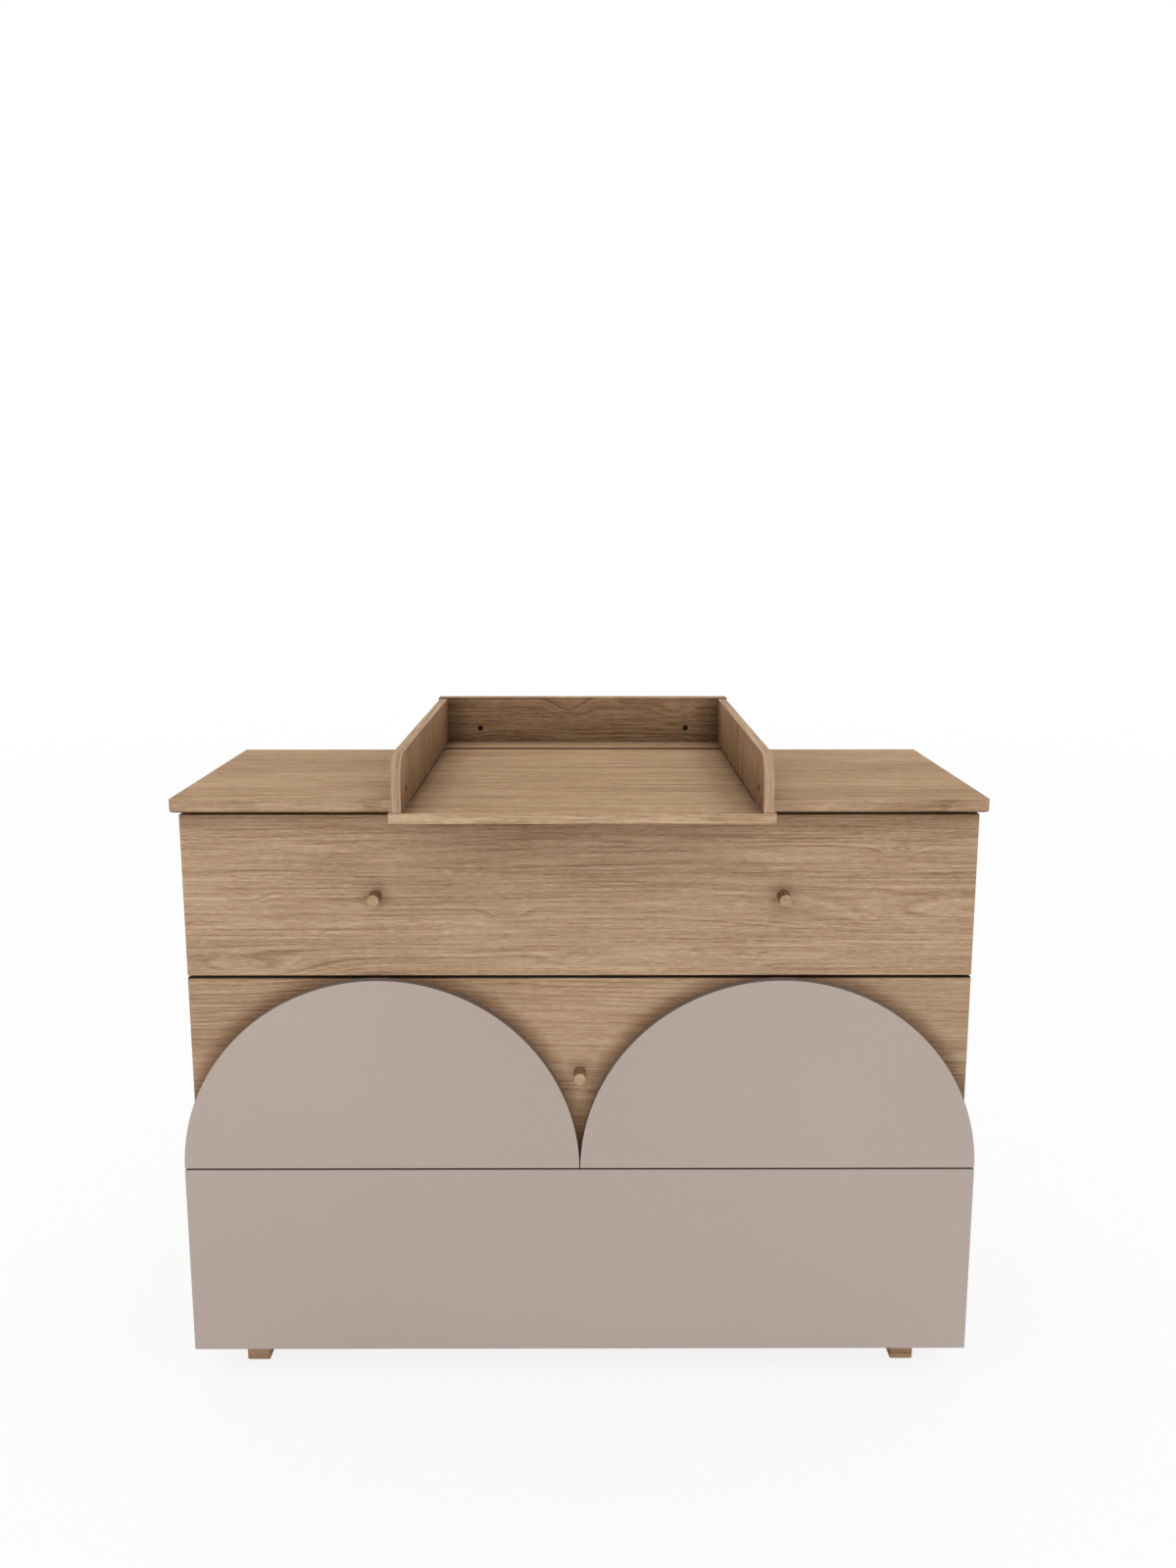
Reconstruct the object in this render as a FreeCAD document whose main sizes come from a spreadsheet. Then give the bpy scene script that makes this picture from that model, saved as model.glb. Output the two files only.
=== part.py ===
import FreeCAD, Part
import os
import re

# Nursery dresser with three full-width drawers, two half-round facings and a changing tray.
# The origin is on the floor under the middle of the whole outline: +X right, +Y back, +Z up.

# Driving sizes in millimetres. Every other place is worked out from these.
SIZES = {
    # top panel
    "top_width": 1192,
    "top_depth": 471,
    "top_thick": 18,
    "top_corner_radius": 14,
    "top_overhang": 12,
    "top_lip": 16,
    # carcass
    "panel_thick": 16,
    "base_height": 47,
    "rail_depth": 80,
    "back_thick": 3,
    "back_inset": 2,
    "edge_radius": 1,
    # feet
    "foot_width": 36,
    "foot_inset": 55,
    "foot_setback": 2,
    "foot_edge_radius": 2.5,
    "foot_screw_spread": 9,
    # drawer fronts and facings
    "front_thick": 18,
    "front_gap": 2,
    "reveal": 3,
    "top_reveal": 6,
    "top_front_height": 245,
    "middle_front_height": 298,
    "facing_thick": 16,
    "facing_reveal": 2.2,
    "facing_overhang": 16,
    "bottom_front_height": 300,
    "facing_edge_radius": 1.5,
    "facing_drop": 4.2,
    "arch_gap": 0.6,
    # knobs
    "knob_diameter": 18,
    "knob_length": 30,
    "knob_bite": 15,
    # drawer boxes
    "box_wall": 15,
    "box_clear": 14,
    "box_headroom": 41,
    "box_floor_thick": 5,
    "box_floor_rise": 10,
    "groove_depth": 6,
    "groove_clear": 0.3,
    # drawer runners
    "runner_length": 400,
    "runner_space": 13,
    "runner_height": 45,
    "runner_steel": 1.2,
    "runner_clear": 0.3,
    "runner_rise": 40,
    "runner_setback": 2,
    "runner_bend": 0.9,
    # bumpers between fronts and carcass
    "bumper_diameter": 8,
    "bumper_clear": 0.3,
    "bumper_inset": 30,
    # cam connectors
    "cam_diameter": 15,
    "cam_depth": 12,
    "cam_setback": 24,
    "cam_edge": 32,
    "cam_spacing": 160,
    "cam_bolt_diameter": 6,
    "cam_bolt_bite": 10,
    # wood screws
    "screw_diameter": 4,
    "screw_head_diameter": 8,
    "screw_head_height": 2.4,
    "screw_bite": 12,
    "screw_tip_room": 0.5,
    "rail_screw_spacing": 400,
    "arch_screw_spread": 140,
    "facing_screw_spacing": 290,
    "facing_screw_edge": 62,
    # fit of pins and screws in their holes
    "hole_clear": 0.1,
    # wall bracket
    "bracket_width": 50,
    "bracket_steel": 2,
    "bracket_reach": 30,
    "bracket_drop": 40,
    "bracket_screw_spread": 15,
    "anchor_diameter": 5.5,
    "anchor_drop": 25,
    # changing tray
    "tray_shift": 4.5,
    "tray_width": 515,
    "tray_overhang": 162,
    "tray_board": 14,
    "tray_front_strip": 84,
    "tray_rear_strip": 87,
    "tray_gap": 2,
    "tray_wall_height": 76.5,
    "tray_wall_inset": 3.5,
    "tray_wall_setback": 1,
    "tray_corner_radius": 40,
    "tray_back_thick": 25,
    "tray_back_inset": 2,
    "tray_back_rise": 2.3,
    "tray_back_clear": 1,
    "tray_screw_across": 150,
    "tray_screw_along": 100,
    # barrel nuts and bolts of the tray
    "barrel_diameter": 10,
    "barrel_depth": 12,
    "barrel_length": 9,
    "barrel_height": 24,
    "barrel_setback": 57,
    "barrel_spread": 182.5,
    "bolt_head_diameter": 10,
    "bolt_head_height": 4,
    "bolt_tip": 3,
    # long screws through the tray's back wall
    "long_screw_diameter": 5,
    "long_screw_head": 9,
    "long_screw_bite": 35,
    "long_screw_low": 18,
    "long_screw_high": 56,
    # length by which a cut runs past the face that it opens
    "overrun": 1,
}

# Two places closer than this, in millimetres, count as the same
SAME_PLACE = 0.001

DRAWERS = ("top", "middle", "bottom")
SIDES = {"left": -1, "right": 1}
WORD = re.compile(r"([a-z][a-z_]*)")

# Turns that lay a cylinder's own axis along a direction
ACROSS = FreeCAD.Vector(1, 0, 0)
ALONG = FreeCAD.Vector(0, 1, 0)
TURNS = {
    "+X": FreeCAD.Rotation(ALONG, 90),
    "-X": FreeCAD.Rotation(ALONG, -90),
    "+Y": FreeCAD.Rotation(ACROSS, -90),
    "-Y": FreeCAD.Rotation(ACROSS, 90),
    "+Z": FreeCAD.Rotation(ACROSS, 0),
    "-Z": FreeCAD.Rotation(ACROSS, 180),
}
OPPOSITE = {"+X": "-X", "-X": "+X", "+Y": "-Y", "-Y": "+Y", "+Z": "-Z", "-Z": "+Z"}
OUTWARD = {"left": "-X", "right": "+X"}
INWARD = {"left": "+X", "right": "-X"}

os.makedirs("parts", exist_ok=True)
doc = FreeCAD.newDocument("Dresser")
sheet = doc.addObject("Spreadsheet::Sheet", "Sizes")
for row, (word, value) in enumerate(SIZES.items(), start=1):
    sheet.set(f"A{row}", word)
    sheet.set(f"B{row}", str(value))
    sheet.setAlias(f"B{row}", word)
doc.recompute()
nodes = []


# Tools for drawing boards, holes and fasteners

def bind(thing, prop, text):
    """Tie a property to a sum that is written in the sheet's own words."""
    parts = [f"Sizes.{word}" if word in SIZES else word for word in WORD.split(text)]
    thing.setExpression(prop, "".join(parts))


def place(thing, x, y, z):
    for axis, text in zip("xyz", (x, y, z)):
        bind(thing, f"Placement.Base.{axis}", text)


def piece(label, frame):
    """Start one solid piece whose own origin lies at the frame's."""
    body = doc.addObject("PartDesign::Body", label)
    body.Label = label
    place(body, *frame)
    nodes.append(body)
    return body


def block(body, corner, size, cut=False):
    """Add a box, or take it away, given its lowest corner and its size."""
    kind = "PartDesign::SubtractiveBox" if cut else "PartDesign::AdditiveBox"
    box = body.newObject(kind, "Cutout" if cut else "Block")
    for prop, text in zip(("Length", "Width", "Height"), size):
        bind(box, prop, text)
    place(box, *corner)
    return box


def rod(body, start, way, diameter, length, cut=False):
    """Add a round bar, or bore one out, from the centre of its first end."""
    kind = "PartDesign::SubtractiveCylinder" if cut else "PartDesign::AdditiveCylinder"
    bar = body.newObject(kind, "Bore" if cut else "Rod")
    bar.Placement = FreeCAD.Placement(FreeCAD.Vector(), TURNS[way])
    bind(bar, "Radius", f"({diameter}) / 2")
    bind(bar, "Height", length)
    place(bar, *start)
    return bar


def hole(body, start, way, diameter, length):
    """Bore for a pin or screw, a little wider than it and open at its first end."""
    return rod(body, start, way, f"{diameter} + 2 * hole_clear", length, cut=True)


def soften(body, radius):
    """Round every edge of the piece so far."""
    doc.recompute()
    base = body.Tip
    fillet = body.newObject("PartDesign::Fillet", "Rounding")
    fillet.Base = (base, ["Edge1"])
    fillet.UseAllEdges = True
    bind(fillet, "Radius", radius)


def soften_some(body, radius, limits):
    """Round the straight edges that lie on all the named limits of the piece so far."""
    doc.recompute()
    base = body.Tip
    box = base.Shape.BoundBox
    chosen = []
    for number, edge in enumerate(base.Shape.Edges, start=1):
        ends = [vertex.Point for vertex in edge.Vertexes]
        on_all = all(
            abs(getattr(end, limit[0].lower()) - getattr(box, limit)) < SAME_PLACE
            for end in ends
            for limit in limits
        )
        if on_all:
            chosen.append(f"Edge{number}")
    fillet = body.newObject("PartDesign::Fillet", "Rounding")
    fillet.Base = (base, chosen)
    bind(fillet, "Radius", radius)


def bar(start, way, diameter, length):
    """Plain round bar for a fastener."""
    solid = doc.addObject("Part::Cylinder", "Bar")
    solid.Placement = FreeCAD.Placement(FreeCAD.Vector(), TURNS[way])
    bind(solid, "Radius", f"{diameter} / 2")
    bind(solid, "Height", length)
    place(solid, *start)
    return solid


def screw(start, way, length, diameter="screw_diameter", head="screw_head_diameter"):
    """Round-headed screw whose head bears on the start point and whose shank runs along way."""
    shank = bar(start, way, diameter, length)
    cap = doc.addObject("Part::Cone", "Head")
    cap.Placement = FreeCAD.Placement(FreeCAD.Vector(), TURNS[OPPOSITE[way]])
    bind(cap, "Radius1", f"{head} / 2")
    bind(cap, "Radius2", f"{diameter} / 2")
    bind(cap, "Height", "screw_head_height")
    place(cap, *start)
    joined = doc.addObject("Part::MultiFuse", "Screw")
    joined.Shapes = [shank, cap]
    return joined


def group(label, frame, solids):
    """One node that holds several like fasteners as separate solids."""
    node = doc.addObject("Part::Compound", label)
    node.Label = label
    node.Links = solids
    place(node, *frame)
    nodes.append(node)


def signed(side, text):
    """The sum on the right-hand side, or its mirror image on the left."""
    return f"({text})" if SIDES[side] > 0 else f"(-1) * ({text})"


def start_of(side, inner, outer):
    """Lowest X of a block that reaches from inner to outer, measured out from the middle."""
    return f"({inner})" if SIDES[side] > 0 else f"(-1) * ({outer})"


# Planes and levels that several pieces share

# The top panel's front edge, placed so that the tray's front edge and the heads of the screws in
# its back wall lie equally far from the origin
REAR_REACH = "(top_depth + tray_back_clear + tray_back_thick + screw_head_height)"
TOP_FRONT = f"((tray_overhang - {REAR_REACH}) / 2)"
TOP_MIDDLE = f"({TOP_FRONT} + top_depth / 2)"
# The wood fronts' face, and the carcass behind them
FRONT_PLANE = f"({TOP_FRONT} + top_lip)"
BODY_FRONT = f"({FRONT_PLANE} + front_thick + front_gap)"
BODY_BACK = f"({TOP_FRONT} + top_depth - back_thick)"
BODY_DEPTH = f"({BODY_BACK} - {BODY_FRONT})"
BODY_MIDDLE = f"(({BODY_FRONT} + {BODY_BACK}) / 2)"
BODY_HALF = "(top_width / 2 - top_overhang)"
FACING_HALF = f"({BODY_HALF} + facing_overhang)"
INNER_HALF = f"({BODY_HALF} - panel_thick)"
BOX_HALF = f"({INNER_HALF} - runner_space)"
CAM_CENTRE = f"({INNER_HALF} - cam_setback)"
CAM_BOLT_RUN = "(cam_setback - cam_diameter / 2 - hole_clear)"

# Levels, stacked up from the floor: base, three fronts with their reveals, top panel
BASE_TOP = "(base_height + panel_thick)"
BOTTOM_FRONT_LOW = "(base_height - facing_drop)"
MIDDLE_FRONT_LOW = f"({BOTTOM_FRONT_LOW} + bottom_front_height + facing_reveal)"
TOP_FRONT_LOW = f"({MIDDLE_FRONT_LOW} + middle_front_height + reveal)"
TOP_UNDERSIDE = f"({TOP_FRONT_LOW} + top_front_height + top_reveal)"
TOP_FACE = f"({TOP_UNDERSIDE} + top_thick)"
RAIL_UNDERSIDE = f"({TOP_UNDERSIDE} - panel_thick)"
FRONT_HEIGHT = {name: f"{name}_front_height" for name in DRAWERS}
FRONT_LOW = {"top": TOP_FRONT_LOW, "middle": MIDDLE_FRONT_LOW, "bottom": BOTTOM_FRONT_LOW}

# A box's underside, measured up from the lower edge of its own front
BOX_LOW = {"top": "box_clear", "middle": "box_clear", "bottom": "(facing_drop + panel_thick + box_clear)"}

# The cabinet is drawn from the floor, each drawer from its front's face and lower edge,
# and the tray from the middle of its front edge on the dresser's top
CABINET = ("0", "0", "0")
DRAWER = {name: ("0", FRONT_PLANE, FRONT_LOW[name]) for name in DRAWERS}
TRAY = ("tray_shift", f"{TOP_FRONT} - tray_overhang", TOP_FACE)


# Places of the wood screws, which the boards' holes and the screws themselves share

RAIL_MIDDLE = {
    "front": f"({BODY_FRONT} + rail_depth / 2)",
    "rear": f"({BODY_BACK} - rail_depth / 2)",
}
BRACKET_SCREW_Y = f"({BODY_BACK} - bracket_reach / 2 - bracket_steel / 2)"
RAIL_SCREWS = {
    "front": [(x, RAIL_MIDDLE["front"]) for x in ("-rail_screw_spacing", "0", "rail_screw_spacing")],
    "rear": [(x, RAIL_MIDDLE["rear"]) for x in ("-rail_screw_spacing", "rail_screw_spacing")],
}
BRACKET_SCREWS = [(f"{sign}bracket_screw_spread", BRACKET_SCREW_Y) for sign in ("-", "")]
TRAY_SCREWS = [
    (f"(tray_shift {across} tray_screw_across)", f"({TOP_MIDDLE} {along} tray_screw_along)")
    for across in "-+"
    for along in "-+"
]
FOOT_X = f"({BODY_HALF} - foot_inset - foot_width / 2)"
FOOT_Y = {
    "front": f"({BODY_FRONT} + foot_setback + foot_width / 2)",
    "rear": f"({BODY_BACK} - foot_setback - foot_width / 2)",
}
FOOT_SCREWS = [
    (f"{signed(side, FOOT_X)} {sign} foot_screw_spread", FOOT_Y[end])
    for side in SIDES
    for end in FOOT_Y
    for sign in "-+"
]
CAM_ROWS = (f"{BODY_MIDDLE} - cam_spacing", BODY_MIDDLE, f"{BODY_MIDDLE} + cam_spacing")


# Cabinet boards

def top_panel():
    """Solid-looking oak board with rounded front corners, carried by the sides and rails."""
    body = piece("top_panel", ("0", "0", TOP_UNDERSIDE))
    block(body, ("-top_width / 2", TOP_FRONT, "0"), ("top_width", "top_depth", "top_thick"))
    soften_some(body, "top_corner_radius", ("XMin", "YMin"))
    soften_some(body, "top_corner_radius", ("XMax", "YMin"))
    soften(body, "edge_radius")
    for x, y in RAIL_SCREWS["front"] + RAIL_SCREWS["rear"] + BRACKET_SCREWS:
        hole(body, (x, y, "-overrun"), "+Z", "screw_diameter", "screw_bite + screw_tip_room + overrun")
    for x, y in TRAY_SCREWS:
        hole(body, (x, y, "-overrun"), "+Z", "screw_diameter", "top_thick + 2 * overrun")


def side_panel(side):
    """Upright board with blind holes for the connector bolts in its inner face."""
    body = piece(f"{side}_side_panel", ("0", "0", "base_height"))
    height = f"({TOP_UNDERSIDE} - base_height)"
    corner = (start_of(side, INNER_HALF, BODY_HALF), BODY_FRONT, "0")
    block(body, corner, ("panel_thick", BODY_DEPTH, height))
    soften(body, "edge_radius")
    x = signed(side, f"{INNER_HALF} - overrun")
    depth = "cam_bolt_bite + screw_tip_room + overrun"
    for y in CAM_ROWS:
        hole(body, (x, y, "panel_thick / 2"), OUTWARD[side], "cam_bolt_diameter", depth)
    for y in RAIL_MIDDLE.values():
        z = f"{RAIL_UNDERSIDE} - base_height + panel_thick / 2"
        hole(body, (x, y, z), OUTWARD[side], "cam_bolt_diameter", depth)


def cam_seats(body, side, y):
    """Round pocket from below and the bolt's bore from the board's end."""
    hole(body, (signed(side, CAM_CENTRE), y, "-overrun"), "+Z",
         "cam_diameter", "cam_depth + hole_clear + overrun")
    mouth = (signed(side, f"{INNER_HALF} + overrun"), y, "panel_thick / 2")
    hole(body, mouth, INWARD[side], "cam_bolt_diameter", "cam_setback + overrun")


def bottom_panel():
    """Board between the side panels that carries the feet."""
    body = piece("bottom_panel", ("0", "0", "base_height"))
    block(body, (f"-{INNER_HALF}", BODY_FRONT, "0"), (f"2 * {INNER_HALF}", BODY_DEPTH, "panel_thick"))
    for side in SIDES:
        for y in CAM_ROWS:
            cam_seats(body, side, y)
    for x, y in FOOT_SCREWS:
        hole(body, (x, y, "-overrun"), "+Z", "screw_diameter", "panel_thick + 2 * overrun")


def rail(end):
    """Flat rail between the side panels, screwed up into the top panel."""
    body = piece(f"{end}_rail", ("0", "0", RAIL_UNDERSIDE))
    low_y = f"{RAIL_MIDDLE[end]} - rail_depth / 2"
    block(body, (f"-{INNER_HALF}", low_y, "0"), (f"2 * {INNER_HALF}", "rail_depth", "panel_thick"))
    for side in SIDES:
        cam_seats(body, side, RAIL_MIDDLE[end])
    for x, y in RAIL_SCREWS[end] + (BRACKET_SCREWS if end == "rear" else []):
        hole(body, (x, y, "-overrun"), "+Z", "screw_diameter", "panel_thick + 2 * overrun")


def back_panel():
    """Thin hardboard sheet that covers the carcass from behind."""
    body = piece("back_panel", ("0", BODY_BACK, "base_height + back_inset"))
    half = f"({BODY_HALF} - back_inset)"
    height = f"{TOP_UNDERSIDE} - base_height - 2 * back_inset"
    block(body, (f"-{half}", "0", "0"), (f"2 * {half}", "back_thick", height))
    z = f"{RAIL_UNDERSIDE} - anchor_drop - base_height - back_inset"
    rod(body, ("0", "-overrun", z), "+Y", "anchor_diameter", "back_thick + 2 * overrun", cut=True)


def foot(end, side):
    """Square oak block screwed under the bottom panel."""
    body = piece(f"{end}_{side}_foot", (signed(side, FOOT_X), FOOT_Y[end], "0"))
    block(body, ("-foot_width / 2", "-foot_width / 2", "0"), ("foot_width", "foot_width", "base_height"))
    soften(body, "foot_edge_radius")
    for sign in "-+":
        top = (f"{sign}foot_screw_spread", "0", "base_height + overrun")
        hole(body, top, "-Z", "screw_diameter", "screw_bite + screw_tip_room + overrun")


def wall_bracket():
    """Steel angle under the rear rail, with a hole for a screw into the room's wall."""
    body = piece("wall_bracket", ("0", BODY_BACK, RAIL_UNDERSIDE))
    block(body, ("-bracket_width / 2", "-bracket_reach", "-bracket_steel"),
          ("bracket_width", "bracket_reach", "bracket_steel"))
    block(body, ("-bracket_width / 2", "-bracket_steel", "-bracket_drop"),
          ("bracket_width", "bracket_steel", "bracket_drop"))
    for x, y in BRACKET_SCREWS:
        start = (x, f"{y} - {BODY_BACK}", "-bracket_steel - overrun")
        hole(body, start, "+Z", "screw_diameter", "bracket_steel + 2 * overrun")
    rod(body, ("0", "-bracket_steel - overrun", "-anchor_drop"), "+Y", "anchor_diameter",
        "bracket_steel + 2 * overrun", cut=True)


def panel_screws():
    """Wood screws of the rails, the wall bracket, the tray and the feet."""
    solids = []
    for x, y in RAIL_SCREWS["front"] + RAIL_SCREWS["rear"]:
        solids.append(screw((x, y, RAIL_UNDERSIDE), "+Z", "panel_thick + screw_bite"))
    for x, y in BRACKET_SCREWS:
        start = (x, y, f"{RAIL_UNDERSIDE} - bracket_steel")
        solids.append(screw(start, "+Z", "bracket_steel + panel_thick + screw_bite"))
    for x, y in TRAY_SCREWS:
        solids.append(screw((x, y, TOP_UNDERSIDE), "+Z", "top_thick + screw_bite"))
    for x, y in FOOT_SCREWS:
        solids.append(screw((x, y, BASE_TOP), "-Z", "panel_thick + screw_bite"))
    group("panel_screws", CABINET, solids)


def carcass_connectors():
    """Cam housings under the boards, and the bolts that they draw in from the side panels."""
    solids = []
    seats = [(y, "base_height") for y in CAM_ROWS]
    seats += [(y, RAIL_UNDERSIDE) for y in RAIL_MIDDLE.values()]
    for side in SIDES:
        for y, underside in seats:
            solids.append(bar((signed(side, CAM_CENTRE), y, underside), "+Z", "cam_diameter", "cam_depth"))
            start = (signed(side, f"{INNER_HALF} + cam_bolt_bite"), y, f"{underside} + panel_thick / 2")
            solids.append(bar(start, INWARD[side], "cam_bolt_diameter", f"cam_bolt_bite + {CAM_BOLT_RUN}"))
    group("carcass_connectors", CABINET, solids)


def front_bumpers():
    """Felt dots on the carcass edges, which the drawer fronts close against."""
    solids = []
    for side in SIDES:
        x = signed(side, f"{BODY_HALF} - panel_thick / 2")
        for name in DRAWERS:
            low = f"{FRONT_LOW[name]} + bumper_inset"
            high = f"{FRONT_LOW[name]} + {FRONT_HEIGHT[name]} - bumper_inset"
            for z in (low, high):
                solids.append(bar((x, BODY_FRONT, z), "-Y", "bumper_diameter", "front_gap - bumper_clear"))
    group("front_bumpers", CABINET, solids)


# Drawer runners: three nested steel channels a side

FLANGE_REACH = "(runner_space - runner_steel - runner_clear)"
LAYER = "(runner_steel + runner_clear)"


def channel(side, low, near, far, inset, web_outside):
    """Steel channel that lies from near to far inside the side panel's inner face."""
    body = doc.addObject("PartDesign::Body", "Channel")
    height = f"(runner_height - 2 * {inset})"
    x = start_of(side, f"{INNER_HALF} - {far}", f"{INNER_HALF} - {near}")
    y = f"{BODY_FRONT} + runner_setback"
    block(body, (x, y, f"{low} + {inset}"), (f"{far} - {near}", "runner_length", height))
    web = "XMax" if (SIDES[side] > 0) == web_outside else "XMin"
    soften_some(body, "runner_bend", (web, "ZMin"))
    soften_some(body, "runner_bend", (web, "ZMax"))
    if web_outside:
        hollow = (f"{near} + runner_steel", f"{far} + overrun")
    else:
        hollow = (f"{near} - overrun", f"{far} - runner_steel")
    x = start_of(side, f"{INNER_HALF} - ({hollow[1]})", f"{INNER_HALF} - ({hollow[0]})")
    corner = (x, f"{y} - overrun", f"{low} + {inset} + runner_steel")
    size = (f"({hollow[1]}) - ({hollow[0]})", "runner_length + 2 * overrun", f"{height} - 2 * runner_steel")
    block(body, corner, size, cut=True)
    return body


def runner_low(name):
    return f"({FRONT_LOW[name]} + {BOX_LOW[name]} + runner_rise)"


def cabinet_runners():
    """Outer channels, screwed to the side panels."""
    solids = [
        channel(side, runner_low(name), "0", FLANGE_REACH, "0", True)
        for name in DRAWERS
        for side in SIDES
    ]
    group("cabinet_runners", CABINET, solids)


def intermediate_runners(name):
    """Channels between a drawer's and the cabinet's, which travel half as far as the drawer."""
    solids = [channel(side, runner_low(name), LAYER, FLANGE_REACH, LAYER, True) for side in SIDES]
    group(f"{name}_intermediate_runners", CABINET, solids)


def drawer_runners(name):
    """Inner channels, screwed to the drawer's box."""
    solids = [
        channel(side, runner_low(name), f"(2 * {LAYER})", "runner_space", f"(2 * {LAYER})", False)
        for side in SIDES
    ]
    group(f"{name}_drawer_runners", CABINET, solids)


# Drawer boxes

BOX_BACK = "(front_thick + runner_length)"
GROOVE_HALF = f"({BOX_HALF} - box_wall + groove_depth)"


def box_height(name):
    return f"({FRONT_HEIGHT[name]} - box_headroom - {BOX_LOW[name]})"


def groove(body, name, corner_x, corner_y, length, width):
    """Slot that holds the drawer's floor."""
    z = f"{BOX_LOW[name]} + box_floor_rise"
    block(body, (corner_x, corner_y, z), (length, width, "box_floor_thick + groove_clear"), cut=True)


def cam_levels(name):
    low = f"{BOX_LOW[name]} + cam_edge"
    high = f"{BOX_LOW[name]} + {box_height(name)} - cam_edge"
    return low, high


def box_side(name, side):
    """Side board with the floor's groove and the seats of two cam connectors."""
    body = piece(f"{name}_drawer_{side}_side", DRAWER[name])
    inner = f"({BOX_HALF} - box_wall)"
    corner = (start_of(side, inner, BOX_HALF), "front_thick", BOX_LOW[name])
    block(body, corner, ("box_wall", "runner_length", box_height(name)))
    soften(body, "edge_radius")
    groove(body, name, start_of(side, f"{inner} - overrun", GROOVE_HALF), "front_thick - overrun",
           "groove_depth + overrun", "runner_length - box_wall + groove_depth + overrun")
    for z in cam_levels(name):
        pocket = (signed(side, f"{inner} - overrun"), "front_thick + cam_setback", z)
        hole(body, pocket, OUTWARD[side], "cam_diameter", "cam_depth + hole_clear + overrun")
        mouth = (signed(side, f"{inner} + box_wall / 2"), "front_thick - overrun", z)
        hole(body, mouth, "+Y", "cam_bolt_diameter", "cam_setback + overrun")


def box_back(name):
    """Back board between the side boards."""
    body = piece(f"{name}_drawer_back", DRAWER[name])
    inner = f"({BOX_HALF} - box_wall)"
    block(body, (f"-{inner}", f"{BOX_BACK} - box_wall", BOX_LOW[name]),
          (f"2 * {inner}", "box_wall", box_height(name)))
    groove(body, name, f"-{inner} - overrun", f"{BOX_BACK} - box_wall - overrun",
           f"2 * {inner} + 2 * overrun", "groove_depth + overrun")


def box_floor(name):
    """Thin floor held in the grooves of all four boards."""
    body = piece(f"{name}_drawer_floor", DRAWER[name])
    half = f"({GROOVE_HALF} - groove_clear)"
    front = "(front_thick - groove_depth + groove_clear)"
    back = f"({BOX_BACK} - box_wall + groove_depth - groove_clear)"
    block(body, (f"-{half}", front, f"{BOX_LOW[name]} + box_floor_rise + groove_clear / 2"),
          (f"2 * {half}", f"{back} - {front}", "box_floor_thick"))


def front_board(name):
    """Oak front over the carcass edges, grooved behind for the floor and bored for the bolts."""
    body = piece(f"{name}_drawer_front", DRAWER[name])
    block(body, (f"-{BODY_HALF}", "0", "0"), (f"2 * {BODY_HALF}", "front_thick", FRONT_HEIGHT[name]))
    soften(body, "edge_radius")
    groove(body, name, f"-{GROOVE_HALF}", "front_thick - groove_depth",
           f"2 * {GROOVE_HALF}", "groove_depth + overrun")
    for side in SIDES:
        for z in cam_levels(name):
            start = (signed(side, f"{BOX_HALF} - box_wall / 2"), "front_thick + overrun", z)
            hole(body, start, "-Y", "cam_bolt_diameter", "cam_bolt_bite + screw_tip_room + overrun")
    return body


def front_screw_holes(body, places):
    for x, z in places:
        hole(body, (x, "-overrun", z), "+Y", "screw_diameter", "front_thick + 2 * overrun")


def drawer_connectors(name):
    """Cam housings in the box's sides, and the bolts that they draw in from the front."""
    solids = []
    for side in SIDES:
        for z in cam_levels(name):
            cam = (signed(side, f"{BOX_HALF} - box_wall"), "front_thick + cam_setback", z)
            solids.append(bar(cam, OUTWARD[side], "cam_diameter", "cam_depth"))
            start = (signed(side, f"{BOX_HALF} - box_wall / 2"), "front_thick - cam_bolt_bite", z)
            solids.append(bar(start, "+Y", "cam_bolt_diameter", f"cam_bolt_bite + {CAM_BOLT_RUN}"))
    group(f"{name}_drawer_connectors", DRAWER[name], solids)


def front_screws(label, name, places, bite):
    """Screws through the front board from inside the drawer."""
    solids = [screw((x, "front_thick", z), "-Y", f"front_thick + {bite}") for x, z in places]
    group(label, DRAWER[name], solids)


# Knobs and facings

def knob(label, name, x):
    """Turned oak peg on the front's face, bored behind for its screw."""
    z = f"{FRONT_LOW[name]} + {FRONT_HEIGHT[name]} / 2"
    body = piece(label, (x, FRONT_PLANE, z))
    rod(body, ("0", "0", "0"), "-Y", "knob_diameter", "knob_length")
    soften(body, "edge_radius")
    hole(body, ("0", "overrun", "0"), "-Y", "screw_diameter", "knob_bite + screw_tip_room + overrun")


ARCH_RADIUS = f"((2 * {FACING_HALF} - arch_gap) / 4)"
ARCH_CENTRE = f"({ARCH_RADIUS} + arch_gap / 2)"


def arch_screw_places(side):
    low = "facing_screw_edge"
    high = "middle_front_height - facing_screw_edge"
    x = signed(side, ARCH_CENTRE)
    return [(f"{x} {sign} arch_screw_spread", z) for sign in "-+" for z in (low, high)]


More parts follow.
